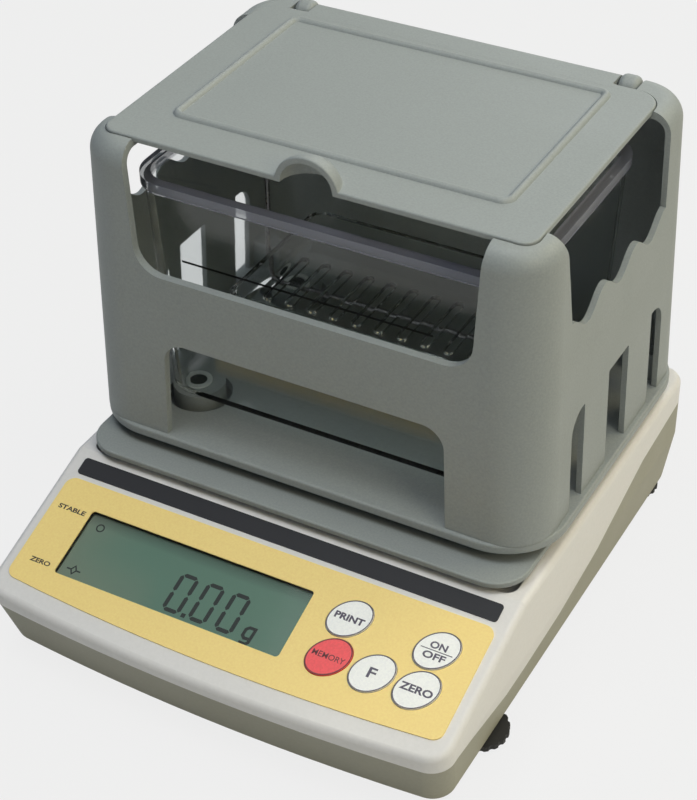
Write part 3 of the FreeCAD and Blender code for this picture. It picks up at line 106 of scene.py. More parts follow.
class DensityMeterSettings(bpy.types.PropertyGroup):
    """Colours and sizes of the visible finish."""
    cream: colour_property("Upper case", "Colour of the upper case shell", 226, 223, 224)
    taupe: colour_property("Lower case", "Colour of the lower case shell", 156, 153, 138)
    grey: colour_property("Shield", "Colour of the draught shield, lid, tray and tank stand",
                          147, 152, 153)
    yellow: colour_property("Key panel", "Colour of the printed key panel", 255, 223, 142)
    navy: colour_property("Title strip", "Colour of the bare strip over the panel", 14, 14, 24)
    lcd: colour_property("Display", "Colour of the display's background", 92, 128, 110)
    key_white: colour_property("White keys", "Colour of the pale keys", 253, 253, 255)
    key_red: colour_property("Memory key", "Colour of the memory key", 250, 84, 90)
    digit_height: bpy.props.FloatProperty(
        name="Digit height", description="Height of the display's digits in millimetres",
        default=16.8, min=5.0, max=20.0)
    ring_width: bpy.props.FloatProperty(
        name="Key ring width", description="Width of the printed ring round a key in millimetres",
        default=0.45, min=0.1, max=1.5)
    fill_line_height: bpy.props.FloatProperty(
        name="Fill line", description="Height of the tank's fill line in millimetres",
        default=137.0, min=90.0, max=160.0)


# ---- meshes ----------------------------------------------------------------
def quads(rows, columns, wrap):
    """Quad faces of a grid of points; wrap joins the last column to the first."""
    r = np.arange(rows - 1)[:, None]
    c = np.arange(columns if wrap else columns - 1)[None, :]
    following = (c + 1) % columns
    corners = [r * columns + c, r * columns + following,
               (r + 1) * columns + following, (r + 1) * columns + c]
    grid = (rows - 1, c.shape[1])
    return np.stack([np.broadcast_to(corner, grid) for corner in corners], -1).reshape(-1, 4)


def new_piece(name, points, faces, body, material, replaces=(), smooth=True):
    """Mesh object from points in millimetres, riding on a body."""
    mesh = bpy.data.meshes.new(name)
    mesh.from_pydata((np.asarray(points, float) * MM).tolist(), [],
                     [list(map(int, face)) for face in faces])
    mesh.validate()
    mesh.polygons.foreach_set("use_smooth", np.full(len(mesh.polygons), smooth))
    mesh.materials.append(material)
    mesh.update()
    piece = bpy.data.objects.new(name, mesh)
    bpy.context.scene.collection.objects.link(piece)
    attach(piece, body)
    if replaces:
        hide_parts(*replaces)
    return piece


def closed_grid(points):
    """Points (rows, columns, 3) of a tube closed round its columns, with both ends capped."""
    rows, columns = points.shape[:2]
    faces = [list(face) for face in quads(rows, columns, True)]
    faces.append(list(range(columns))[::-1])
    faces.append(list(range((rows - 1) * columns, rows * columns)))
    return points.reshape(-1, 3), faces


def on_panel(points):
    """Points drawn flat as (x, minus the distance down the slope, height over the panel).

    They are turned about x by the panel's tilt and moved to its ridge.
    """
    x, y, z = np.moveaxis(np.asarray(points, float), -1, 0)
    cos, sin = math.cos(PANEL_TILT), math.sin(PANEL_TILT)
    return np.stack([x, PANEL_RIDGE_Y + y * cos - z * sin, PANEL_RIDGE_Z + y * sin + z * cos], -1)


def rounded_loop(half_width, front, rear, front_radius, rear_radius, front_steps, side_steps=40,
                 rear_steps=60, corner_steps=14):
    """Closed loop round a rectangle with rounded corners, from the middle of the front.

    Sides are straight runs between corner arcs; front_steps are the shares of
    the half width at which the front run has points.
    """
    def run(a, b, shares):
        return np.outer(1 - shares, a) + np.outer(shares, b)

    def arc(centre, radius, start):
        angle = np.radians(start) + np.linspace(0, math.pi / 2, corner_steps + 2)[1:-1]
        return np.array(centre) + radius * np.stack([np.cos(angle), np.sin(angle)], -1)

    front_x, front_y = half_width - front_radius, front + front_radius
    rear_x, rear_y = half_width - rear_radius, rear - rear_radius
    half_run = run((0, front), (front_x, front), front_steps)
    right = run((half_width, front_y), (half_width, rear_y), np.linspace(0, 1, side_steps))
    back = run((rear_x, rear), (-rear_x, rear), np.linspace(0, 1, rear_steps))
    left = right[::-1] * (-1, 1)
    return np.vstack([half_run, arc((front_x, front_y), front_radius, -90), right,
                      arc((rear_x, rear_y), rear_radius, 0), back,
                      arc((-rear_x, rear_y), rear_radius, 90), left,
                      arc((-front_x, front_y), front_radius, 180), half_run[:0:-1] * (-1, 1)])


def at_height(outline, height):
    """Points of a flat outline, all at one height."""
    return np.column_stack([outline, np.full(len(outline), height)])


def flat_ring(outer, inner, height):
    """Flat band between two loops with as many points, at one height."""
    return at_height(np.vstack([outer, inner]), height), quads(2, len(outer), True)


def ribbon(path, width, height):
    """Flat band of one width along a path, mitred at its bends, at one height."""
    steps = np.diff(path, axis=0)
    steps /= np.linalg.norm(steps, axis=1)[:, None]
    normals = np.stack([-steps[:, 1], steps[:, 0]], -1)
    bends = np.vstack([normals[:1], normals[:-1] + normals[1:], normals[-1:]])
    bends /= np.linalg.norm(bends, axis=1)[:, None]
    reach = np.sum(bends * np.vstack([normals, normals[-1:]]), axis=1)
    offset = bends * (width / 2 / np.clip(reach, 0.5, 1))[:, None]
    points = at_height(np.vstack([path + offset, path - offset]), height)
    return points, quads(2, len(path), False)


def slanted_oval(x, y, long_half, short_half, turn, count=72):
    """Ellipse with its long axis turned from +x."""
    angle = np.linspace(0, 2 * math.pi, count, endpoint=False)
    along, across = long_half * np.cos(angle), short_half * np.sin(angle)
    return np.stack([x + along * math.cos(turn) - across * math.sin(turn),
                     y + along * math.sin(turn) + across * math.cos(turn)], -1)


def lettering(words, width, height, weight):
    """Flat lettering as points and faces, centred on the origin and filling a box."""
    curve = bpy.data.curves.new("lettering", "FONT")
    curve.body = words
    curve.offset = weight
    curve.resolution_u = 4
    holder = bpy.data.objects.new("lettering", curve)
    mesh = bpy.data.meshes.new_from_object(holder)
    points = np.zeros(len(mesh.vertices) * 3)
    mesh.vertices.foreach_get("co", points)
    points = points.reshape(-1, 3)
    faces = [list(polygon.vertices) for polygon in mesh.polygons]
    bpy.data.objects.remove(holder)
    bpy.data.curves.remove(curve)
    bpy.data.meshes.remove(mesh)
    low, high = points.min(0), points.max(0)
    share = np.array([width, height, 1.0]) / (high - low + (0, 0, 1))
    return (points - (low + high) / 2) * share, faces


def joined(parts):
    """One mesh from several (points, faces) pairs."""
    points, faces, start = [], [], 0
    for some_points, some_faces in parts:
        points.append(np.asarray(some_points, float))
        faces += [[start + int(index) for index in face] for face in some_faces]
        start += len(some_points)
    return np.vstack(points), faces


# ---- materials -------------------------------------------------------------
class Finish:
    """A material and short ways to add its nodes."""

    def __init__(self, name):
        self.material = bpy.data.materials.new(name)
        self.material.use_nodes = True
        self.tree = self.material.node_tree
        self.tree.nodes.clear()
        self.output = self.node("ShaderNodeOutputMaterial")
        self.coordinates = self.node("ShaderNodeTexCoord").outputs["Object"]

    def node(self, kind, **settings):
        made = self.tree.nodes.new(kind)
        for name, value in settings.items():
            setattr(made, name, value)
        return made

    def link(self, source, target):
        self.tree.links.new(source, target)

    def noise(self, scale, detail=2.0, stretch=(1, 1, 1)):
        """Value of a noise fixed to the piece; stretch squeezes it along each axis."""
        mapping = self.node("ShaderNodeMapping")
        mapping.inputs["Scale"].default_value = stretch
        noise = self.node("ShaderNodeTexNoise")
        noise.inputs["Scale"].default_value = scale
        noise.inputs["Detail"].default_value = detail
        self.link(self.coordinates, mapping.inputs["Vector"])
        self.link(mapping.outputs["Vector"], noise.inputs["Vector"])
        return noise.outputs["Fac"]

    def between(self, factor, low, high):
        """Blend of two colours by a noise value."""
        ramp = self.node("ShaderNodeValToRGB")
        ramp.color_ramp.elements[0].position = NOISE_LOW
        ramp.color_ramp.elements[1].position = NOISE_HIGH
        ramp.color_ramp.elements[0].color = (*low, 1)
        ramp.color_ramp.elements[1].color = (*high, 1)
        self.link(factor, ramp.inputs["Fac"])
        return ramp.outputs["Color"]

    def range(self, factor, low, high):
        """Blend of two levels by a noise value."""
        mapped = self.node("ShaderNodeMapRange")
        mapped.inputs["From Min"].default_value = NOISE_LOW
        mapped.inputs["From Max"].default_value = NOISE_HIGH
        mapped.inputs["To Min"].default_value = low
        mapped.inputs["To Max"].default_value = high
        self.link(factor, mapped.inputs["Value"])
        return mapped.outputs["Result"]

    def principled(self, **values):
        """Main shader, with its sockets given by name."""
        shader = self.node("ShaderNodeBsdfPrincipled")
        for name, value in values.items():
            socket = name.replace("_", " ").title().replace("Ior", "IOR")
            shader.inputs[socket].default_value = value
        self.link(shader.outputs["BSDF"], self.output.inputs["Surface"])
        return shader

    def bump(self, shader, height, strength, distance):
        """Fine relief on a shader's surface; distance is in metres."""
        bump = self.node("ShaderNodeBump")
        bump.inputs["Strength"].default_value = strength
        bump.inputs["Distance"].default_value = distance
        self.link(height, bump.inputs["Height"])
        self.link(bump.outputs["Normal"], shader.inputs["Normal"])


def scaled(colour, factor):
    """Colour made lighter or darker, at most to full light."""
    return tuple(min(1.0, channel * factor) for channel in colour)


def moulded(name, colour, roughness=0.5, speckle=0.05, grain_size=900.0, grain=0.12):
    """Moulded plastic: faint speckle in its colour and a fine cast grain."""
    finish = Finish(name)
    shader = finish.principled(Roughness=roughness)
    fine = finish.noise(grain_size, 3.0)
    finish.link(finish.between(fine, scaled(colour, 1 - speckle), scaled(colour, 1 + speckle)),
                shader.inputs["Base Color"])
    broad = finish.noise(28.0, 2.0)
    finish.link(finish.range(broad, roughness - 0.05, roughness + 0.06),
                shader.inputs["Roughness"])
    finish.bump(shader, fine, grain, 0.0002)
    return finish.material


def metal(name, colour, roughness, brushed=(1, 1, 1), grain=0.08):
    """Metal with fine marks drawn out along one direction."""
    finish = Finish(name)
    shader = finish.principled(Metallic=1.0, Roughness=roughness)
    marks = finish.noise(1500.0, 2.0, brushed)
    finish.link(finish.between(marks, scaled(colour, 0.88), colour), shader.inputs["Base Color"])
    finish.link(finish.range(marks, roughness * 0.8, roughness * 1.25),
                shader.inputs["Roughness"])
    finish.bump(shader, marks, grain, 0.0001)
    return finish.material


def printed(name, colour, roughness=0.4):
    """Ink on a film, with the slight unevenness of a screen print."""
    finish = Finish(name)
    shader = finish.principled(Roughness=roughness)
    uneven = finish.noise(1200.0, 2.0)
    finish.link(finish.between(uneven, scaled(colour, 0.96), scaled(colour, 1.04)),
                shader.inputs["Base Color"])
    return finish.material


def milky_above(finish, clear, height, colour, share):
    """Mixes a milky share into a clear shader above a height."""
    milky = finish.node("ShaderNodeBsdfDiffuse")
    milky.inputs["Color"].default_value = (*colour, 1)
    place = finish.node("ShaderNodeSeparateXYZ")
    finish.link(finish.coordinates, place.inputs["Vector"])
    above = finish.node("ShaderNodeMapRange")
    above.inputs["From Min"].default_value = (height - 0.5) * MM
    above.inputs["From Max"].default_value = (height + 0.5) * MM
    above.inputs["To Max"].default_value = share
    finish.link(place.outputs["Z"], above.inputs["Value"])
    mix = finish.node("ShaderNodeMixShader")
    finish.link(above.outputs["Result"], mix.inputs["Fac"])
    finish.link(clear, mix.inputs[1])
    finish.link(milky.outputs["BSDF"], mix.inputs[2])
    return mix.outputs["Shader"]


def clear_plastic(name, tint, roughness, bending, rim=None):
    """Clear moulded plastic that lets light through; a rim is milky above its height."""
    finish = Finish(name)
    shader = finish.principled(Base_Color=(*tint, 1), Roughness=roughness, IOR=bending,
                               Transmission_Weight=1.0)
    ripple = finish.noise(60.0, 2.0)
    finish.link(finish.range(ripple, roughness * 0.6, roughness * 1.6),
                shader.inputs["Roughness"])
    finish.bump(shader, ripple, 0.05, 0.0004)
    through = finish.node("ShaderNodeBsdfTransparent")
    through.inputs["Color"].default_value = (*tint, 1)
    path = finish.node("ShaderNodeLightPath")
    mix = finish.node("ShaderNodeMixShader")
    finish.link(path.outputs["Is Shadow Ray"], mix.inputs["Fac"])
    finish.link(shader.outputs["BSDF"], mix.inputs[1])
    finish.link(through.outputs["BSDF"], mix.inputs[2])
    surface = mix.outputs["Shader"]
    if rim is not None:
        surface = milky_above(finish, surface, *rim)
    finish.link(surface, finish.output.inputs["Surface"])
    return finish.material


def window_film(name):
    """Thin clear window: see-through with a soft reflection."""
    finish = Finish(name)
    through = finish.node("ShaderNodeBsdfTransparent")
    gloss = finish.node("ShaderNodeBsdfGlossy")
    haze = finish.noise(90.0, 2.0)
    finish.link(finish.range(haze, 0.04, 0.1), gloss.inputs["Roughness"])
    fresnel = finish.node("ShaderNodeFresnel")
    fresnel.inputs["IOR"].default_value = 1.3
    mix = finish.node("ShaderNodeMixShader")
    finish.link(fresnel.outputs["Fac"], mix.inputs["Fac"])
    finish.link(through.outputs["BSDF"], mix.inputs[1])
    finish.link(gloss.outputs["BSDF"], mix.inputs[2])
    finish.link(mix.outputs["Shader"], finish.output.inputs["Surface"])
    return finish.material


def sparkling(name, colour):
    """Key cap with faint pearly flakes in its colour."""
    finish = Finish(name)
    shader = finish.principled(Roughness=0.42)
    flakes = finish.node("ShaderNodeTexVoronoi")
    flakes.inputs["Scale"].default_value = 1500.0
    finish.link(finish.coordinates, flakes.inputs["Vector"])
    finish.link(finish.between(flakes.outputs["Color"], scaled(colour, 0.96),
                               scaled(colour, 1.04)), shader.inputs["Base Color"])
    finish.bump(shader, flakes.outputs["Distance"], 0.15, 0.0001)
    return finish.material


def display_glass(name, colour, pale):
    """Display background: pale at its left end, with painted shade along its upper edge."""
    finish = Finish(name)
    shader = finish.principled(Roughness=0.5)
    place = finish.node("ShaderNodeSeparateXYZ")
    finish.link(finish.coordinates, place.inputs["Vector"])
    across = finish.node("ShaderNodeMapRange")
    across.inputs["From Min"].default_value = DISPLAY_PALE_X * MM
    across.inputs["From Max"].default_value = DISPLAY_DARK_X * MM
    finish.link(place.outputs["X"], across.inputs["Value"])
    cloud = finish.node("ShaderNodeMath", operation="MULTIPLY_ADD")
    cloud.inputs[1].default_value = 0.5
    finish.link(finish.noise(22.0, 1.0), cloud.inputs[0])
    finish.link(across.outputs["Result"], cloud.inputs[2])
    ground = finish.between(cloud.outputs["Value"], pale, colour)
    # Painted shade: the colour is darkened to 0.45 at the upper edge and recovers to full over a
    # few millimetres down the display.
    slope = finish.node("ShaderNodeMapRange")
    slope.inputs["From Min"].default_value = DISPLAY_TOP_Y * MM
    slope.inputs["From Max"].default_value = (DISPLAY_TOP_Y - DISPLAY_PAINTED_SHADE) * MM
    slope.inputs["To Min"].default_value = 0.45
    finish.link(place.outputs["Y"], slope.inputs["Value"])
    shade = finish.node("ShaderNodeVectorMath", operation="SCALE")
    finish.link(ground, shade.inputs[0])
    finish.link(slope.outputs["Result"], shade.inputs["Scale"])
    finish.link(shade.outputs["Vector"], shader.inputs["Base Color"])
    finish.bump(shader, finish.noise(700.0), 0.05, 0.0001)
    return finish.material


def shows_background(tree, reflected):
    """Share of the background in a ray: all if seen directly or through glass."""
    path = tree.nodes.new("ShaderNodeLightPath")
    direct = tree.nodes.new("ShaderNodeMath")
    direct.operation = "ADD"
    share = tree.nodes.new("ShaderNodeMath")
    share.operation = "MULTIPLY_ADD"
    share.use_clamp = True
    share.inputs[1].default_value = reflected
    tree.links.new(path.outputs["Is Camera Ray"], direct.inputs[0])
    tree.links.new(path.outputs["Is Transmission Ray"], direct.inputs[1])
    tree.links.new(path.outputs["Is Glossy Ray"], share.inputs[0])
    tree.links.new(direct.outputs["Value"], share.inputs[2])
    return share.outputs["Value"]


def dress(material, *names):
    """Gives solids their finish."""
    for name in names:
        mesh = NODES[name].data
        mesh.materials.clear()
        mesh.materials.append(material)


# ---- operators -------------------------------------------------------------
class DENSITYMETER_OT_stage(bpy.types.Operator):
    """Camera, floor, sky and lamps"""
    bl_idname = "density_meter.stage"
    bl_label = "Stage"
    cool = (0.95, 1.0, 1.0)
    warm = (1.0, 0.90, 0.58)
    # Name, place and side length in metres, power in watts, colour.
    lamps = (("top_lamp", (0.0, 0.1, 1.5), 1.2, 4.2, cool),
             ("panel_lamp", (-0.2, -0.25, 1.2), 0.4, 3.3, cool),
             ("upper_right_lamp", (0.6, -0.2, 1.4), 0.9, 4.8, cool),
             ("right_lamp", (1.2, -0.5, 0.9), 0.6, 4.9, warm),
             ("rear_right_lamp", (0.9, 0.8, 1.1), 0.9, 8.2, warm),
             ("rear_lamp", (-0.1, 1.4, 0.8), 0.9, 4.0, cool))
    lamp_target = (0.0, 0.0, 0.09)
    background = tone(238, 238, 238)
    floor_glow = tone(241, 241, 241)
    floor_paint = tone(224, 224, 224)
    floor_reach = 6.0
    floor_plain_share = 0.93
    floor_reflected = 0.3
    sky_light = tone(212, 232, 255)
    sky_strength = 0.075
    sky_reflected = 0.2

    def execute(self, context):
        self.camera(context)
        self.floor(context)
        self.sky(context)
        for name, place, size, power, colour in self.lamps:
            self.lamp(name, place, size, power, colour)
        context.scene.view_settings.view_transform = "Standard"
        return {"FINISHED"}

    def camera(self, context):
        """Aims the camera from its azimuth, elevation and roll."""
        turn_sin, turn_cos = math.sin(VIEW_AZIMUTH), math.cos(VIEW_AZIMUTH)
        dip_sin, dip_cos = math.sin(VIEW_ELEVATION), math.cos(VIEW_ELEVATION)
        ahead = Vector((-turn_sin * dip_cos, turn_cos * dip_cos, -dip_sin))
        level = Vector((turn_cos, turn_sin, 0))
        down = ahead.cross(level)
        right = level * math.cos(VIEW_ROLL) + down * math.sin(VIEW_ROLL)
        down = down * math.cos(VIEW_ROLL) - level * math.sin(VIEW_ROLL)
        place = VIEW_ANCHOR - right * VIEW_OFFSET[0] - down * VIEW_OFFSET[1] \
            - ahead * VIEW_OFFSET[2]
        turn = Matrix((right, -down, -ahead)).transposed().to_4x4()
        data = bpy.data.cameras.new("camera")
        data.sensor_fit = "AUTO"
        data.sensor_width = 36.0
        data.lens = VIEW_LENS
        data.clip_start = 0.01
        data.clip_end = 20.0
        camera = bpy.data.objects.new("camera", data)
        camera.matrix_world = Matrix.Translation(place * MM) @ turn
        context.scene.collection.objects.link(camera)
        context.scene.camera = camera

    def floor(self, context):
        """Plain pale floor that keeps a faint share of its shadows."""
        mesh = bpy.data.meshes.new("floor")
        reach = self.floor_reach
        mesh.from_pydata([(-reach, -reach, 0), (reach, -reach, 0), (reach, reach, 0),
                          (-reach, reach, 0)], [], [(0, 1, 2, 3)])
        finish = Finish("pale_floor")
        matt = finish.node("ShaderNodeBsdfDiffuse")
        matt.inputs["Color"].default_value = (*self.floor_paint, 1)
        plain = finish.node("ShaderNodeEmission")
        plain.inputs["Color"].default_value = (*self.floor_glow, 1)
        seen = finish.node("ShaderNodeMath", operation="MULTIPLY")
        seen.inputs[1].default_value = self.floor_plain_share
        finish.link(shows_background(finish.tree, self.floor_reflected), seen.inputs[0])
        mix = finish.node("ShaderNodeMixShader")
        finish.link(seen.outputs["Value"], mix.inputs["Fac"])
        finish.link(matt.outputs["BSDF"], mix.inputs[1])
        finish.link(plain.outputs["Emission"], mix.inputs[2])
        finish.link(mix.outputs["Shader"], finish.output.inputs["Surface"])
        mesh.materials.append(finish.material)
        plane = bpy.data.objects.new("floor", mesh)
        context.scene.collection.objects.link(plane)

    def sky(self, context):
        """Soft light from all round, plain where it is seen."""
        world = bpy.data.worlds.new("sky")
        world.use_nodes = True
        tree = world.node_tree
        tree.nodes.clear()
        output = tree.nodes.new("ShaderNodeOutputWorld")
        soft = tree.nodes.new("ShaderNodeBackground")
        soft.inputs["Color"].default_value = (*self.sky_light, 1)
        soft.inputs["Strength"].default_value = self.sky_strength
        seen = tree.nodes.new("ShaderNodeBackground")
        seen.inputs["Color"].default_value = (*self.background, 1)
        mix = tree.nodes.new("ShaderNodeMixShader")
        tree.links.new(shows_background(tree, self.sky_reflected), mix.inputs["Fac"])
        tree.links.new(soft.outputs["Background"], mix.inputs[1])
        tree.links.new(seen.outputs["Background"], mix.inputs[2])
        tree.links.new(mix.outputs["Shader"], output.inputs["Surface"])
        context.scene.world = world

    def lamp(self, name, place, size, power, colour):
        """Square soft lamp that faces the object."""
        data = bpy.data.lights.new(name, "AREA")
        data.shape = "SQUARE"
        data.size = size
        data.energy = power
        data.color = colour
        lamp = bpy.data.objects.new(name, data)
        lamp.location = place
        aim = Vector(self.lamp_target) - Vector(place)
        lamp.rotation_euler = aim.to_track_quat("-Z", "Y").to_euler()
        bpy.context.scene.collection.objects.link(lamp)


class DENSITYMETER_OT_case(bpy.types.Operator):
    """Finishes of the two case shells and what shows at the rear"""
    bl_idname = "density_meter.case"
    bl_label = "Case"

    def execute(self, context):
        settings = context.scene.density_meter
        dress(moulded("cream_plastic", settings.cream, 0.42, 0.02, 700.0, 0.06), "upper_case")
        dress(moulded("taupe_plastic", settings.taupe, 0.5, 0.03, 700.0, 0.08), "lower_case")
        dress(moulded("socket_black", tone(28, 28, 30), 0.45), "dc_jack")
        dress(metal("plated_steel", tone(190, 190, 188), 0.3), "serial_connector",
              "case_screws", "stand_screws")
        return {"FINISHED"}


class DENSITYMETER_OT_inside(bpy.types.Operator):
    """Finishes of the boards, load cell and fasteners inside the case"""
    bl_idname = "density_meter.inside"
    bl_label = "Inside"

    def execute(self, context):
        dress(moulded("board_resin", tone(30, 92, 52), 0.4), "main_board", "key_board")
        dress(moulded("chip_black", tone(30, 30, 32), 0.5), "board_chips", "key_switches",
              "lcd_frame")
        dress(metal("turned_brass", tone(205, 178, 110), 0.32), "board_standoffs")
        dress(metal("screw_steel", tone(176, 176, 178), 0.34), "board_screws",
              "key_board_screws", "load_cell_screws", "overload_stop")
        dress(metal("milled_aluminium", tone(205, 207, 210), 0.36, (0.1, 1, 1)), "load_cell",
              "load_cell_mount", "load_bracket", "spider")
        dress(moulded("pad_rubber", tone(34, 34, 34), 0.8), "spider_pads")
        return {"FINISHED"}


class DENSITYMETER_OT_panel(bpy.types.Operator):
    """Printed key panel, the bare strip over it and the side legends"""
    bl_idname = "density_meter.panel"
    bl_label = "Key panel"
    # Words, place of their middle on the panel, width and height.
    legends = (("STABLE", -80.9, -26.4, 12.0, 2.0), ("ZERO", -80.2, -50.5, 8.8, 2.0))
    weight = 0.032

    def execute(self, context):
        settings = context.scene.density_meter
        dress(printed("panel_ink", settings.yellow, 0.45), "panel_overlay")
        dress(printed("strip_ink", settings.navy, 0.55), "title_strip")
        parts = []
        for words, x, y, width, height in self.legends:
            points, faces = lettering(words, width, height, self.weight)
            parts.append((points + (x, y, OVERLAY_FACE + PRINT_LIFT), faces))
        points, faces = joined(parts)
        new_piece("side_legends", on_panel(points), faces, "case",
                  printed("legend_ink", tone(60, 50, 44)), smooth=False)
        return {"FINISHED"}


class DENSITYMETER_OT_display(bpy.types.Operator):
    """Display glass, its window and the dark segments that read zero grams"""
    bl_idname = "density_meter.display"
    bl_label = "Display"
    digit_pitch = 11.05
    digit_width = 7.9
    stroke = 1.8
    slant = 0.02
    digits_left = -28.1
    digits_low = -50.4
    segment_lift = 0.05
    segment_gap = 0.2
    segment_share = 0.9
    point_gap = 0.75
    point_side = 1.7
    marks_x = -67.3
    stable_y = -28.7
    # Outer and inner half sizes of a mark's ring.
    stable_mark = ((1.75, 1.75), (1.2, 1.2))
    zero_y = -48.2
    zero_mark = ((1.5, 2.2), (0.8, 1.3))
    zero_dash = np.array([(1.4, -0.3), (3.0, -0.3), (3.0, 0.3), (1.4, 0.3)])
    segments = "abcdef"
    unit_x = 5.3
    unit_stroke = 1.25
    # The letter g as one stroke, from the foot of its bowl.
    unit = np.array([(3.9, 1.3), (1.5, 1.1), (0.5, 2.0), (0.6, 4.6), (1.7, 5.6), (4.1, 5.6),
                     (3.8, -0.1), (2.9, -1.0), (0.3, -0.9)])

    def segment(self, name, height):
        """One bar of a digit, as a six-sided polygon along its own edge."""
        left = low = self.stroke / 2
        right = self.digit_width - left
        middle, high = height / 2, height - low
        ends = {"a": ((left, high), (right, high)),
                "b": ((right, high), (right, middle)),
                "c": ((right, middle), (right, low)),
                "d": ((right, low), (left, low)),
                "e": ((left, low), (left, middle)),
                "f": ((left, middle), (left, high))}[name]
        start, end = np.array(ends[0]), np.array(ends[1])
        along = (end - start) / np.linalg.norm(end - start)
        across = np.array([-along[1], along[0]])
        start, end = start + along * self.segment_gap, end - along * self.segment_gap
        rise = self.stroke / 2 * self.segment_share
        return np.array([start, start + (along + across) * rise, end + (across - along) * rise,
                         end, end - (across + along) * rise, start + (along - across) * rise])

    def glyphs(self, height, level):
        """Three zeros with a point, leaning to the right, the unit and two small marks."""
        parts = []
        for place in range(3):
            x = self.digits_left + place * self.digit_pitch
            for name in self.segments:
                corners = self.segment(name, height)
                corners[:, 0] += corners[:, 1] * self.slant
                parts.append((at_height(corners + (x, self.digits_low), level),
                              [list(range(len(corners)))[::-1]]))
        point_x = self.digits_left + self.digit_width + self.point_gap
        square = np.array([(0, 0), (1, 0), (1, 1), (0, 1)]) * self.point_side
        parts.append((at_height(square + (point_x, self.digits_low), level), [[0, 1, 2, 3]]))
        parts.append(ribbon(self.unit + (self.unit_x, self.digits_low), self.unit_stroke, level))
        for y, half_sizes, corner_count in ((self.stable_y, self.stable_mark, 32),
                                            (self.zero_y, self.zero_mark, 4)):
            outer, inner = [slanted_oval(self.marks_x, y, *half_size, 0, corner_count)
                            for half_size in half_sizes]
            parts.append(flat_ring(outer, inner, level))
        for side in (-1, 1):
            dash = self.zero_dash * (side, 1) + (self.marks_x, self.zero_y)
            parts.append((at_height(dash, level), [[0, 1, 2, 3]]))
        return joined(parts)

    def execute(self, context):
        settings = context.scene.density_meter
        dress(display_glass("display_green", settings.lcd, tone(128, 138, 118)), "lcd_glass")
        dress(window_film("display_window"), "lcd_window")
        points, faces = self.glyphs(settings.digit_height, GLASS_FACE + self.segment_lift)
        new_piece("display_segments", on_panel(points), faces, "case",
                  printed("segment_dark", tone(28, 36, 34), 0.6), smooth=False)
        return {"FINISHED"}


class DENSITYMETER_OT_keys(bpy.types.Operator):
    """Pearly key caps, their printed rings and legends"""
    bl_idname = "density_meter.keys"
    bl_label = "Keys"
    # Words, rise of their middle over the key's, width, height and weight.
    legends = {"print": (("PRINT", 0.0, 11.6, 2.7, 0.04),),
               "memory": (("MEMORY", 0.0, 12.7, 2.3, 0.008),),
               "function": (("F", 0.0, 3.1, 4.2, 0.02),),
               "zero": (("ZERO", 0.0, 12.4, 3.0, 0.035),),
               "on_off": (("ON", 1.7, 6.5, 2.8, 0.03), ("OFF", -2.5, 8.6, 2.8, 0.03))}
    ring_inset = 0.05
    bar = np.array([(-6.1, -0.55), (6.1, -0.55), (6.1, -0.2), (-6.1, -0.2)])

    def execute(self, context):
        settings = context.scene.density_meter
        dress(sparkling("pearl_white", settings.key_white), "key_print", "key_on_off",
              "key_function", "key_zero")
        dress(sparkling("pearl_red", settings.key_red), "key_memory")
        ink = printed("key_ink", tone(74, 66, 88), 0.4)
        red_ink = printed("memory_ink", tone(96, 22, 30), 0.4)
        for name, (x, y) in KEY_PLACES.items():
            outer, inner = [slanted_oval(x, y, KEY_LONG - inset, KEY_SHORT - inset, KEY_TURN)
                            for inset in (self.ring_inset, self.ring_inset + settings.ring_width)]
            parts = [flat_ring(outer, inner, 0.0)]
            for words, rise, width, height, weight in self.legends[name]:
                points, faces = lettering(words, width, height, weight)
                parts.append((points + (x, y + rise, 0.0), faces))
            if name == "on_off":
                parts.append((at_height(self.bar + (x, y), 0.0), [[0, 1, 2, 3]]))
            points, faces = joined(parts)
            points = points + (0, 0, KEY_FACE + PRINT_LIFT)
            new_piece("legend_" + name, on_panel(points), faces, "key_" + name,
                      red_ink if name == "memory" else ink, smooth=False)
        return {"FINISHED"}


class DENSITYMETER_OT_shield(bpy.types.Operator):
    """Speckled grey plastic of the draught shield, weighing tray and tank stand"""
    bl_idname = "density_meter.shield"
    bl_label = "Draught shield"

    def execute(self, context):
        settings = context.scene.density_meter
        grey = moulded("shield_plastic", settings.grey, 0.5, 0.06, 1300.0, 0.1)
        dress(grey, "draught_shield", "weighing_tray", "tank_stand")
        dress(metal("pin_steel", tone(170, 170, 172), 0.3), "shield_screws", "hinge_pins")
        return {"FINISHED"}


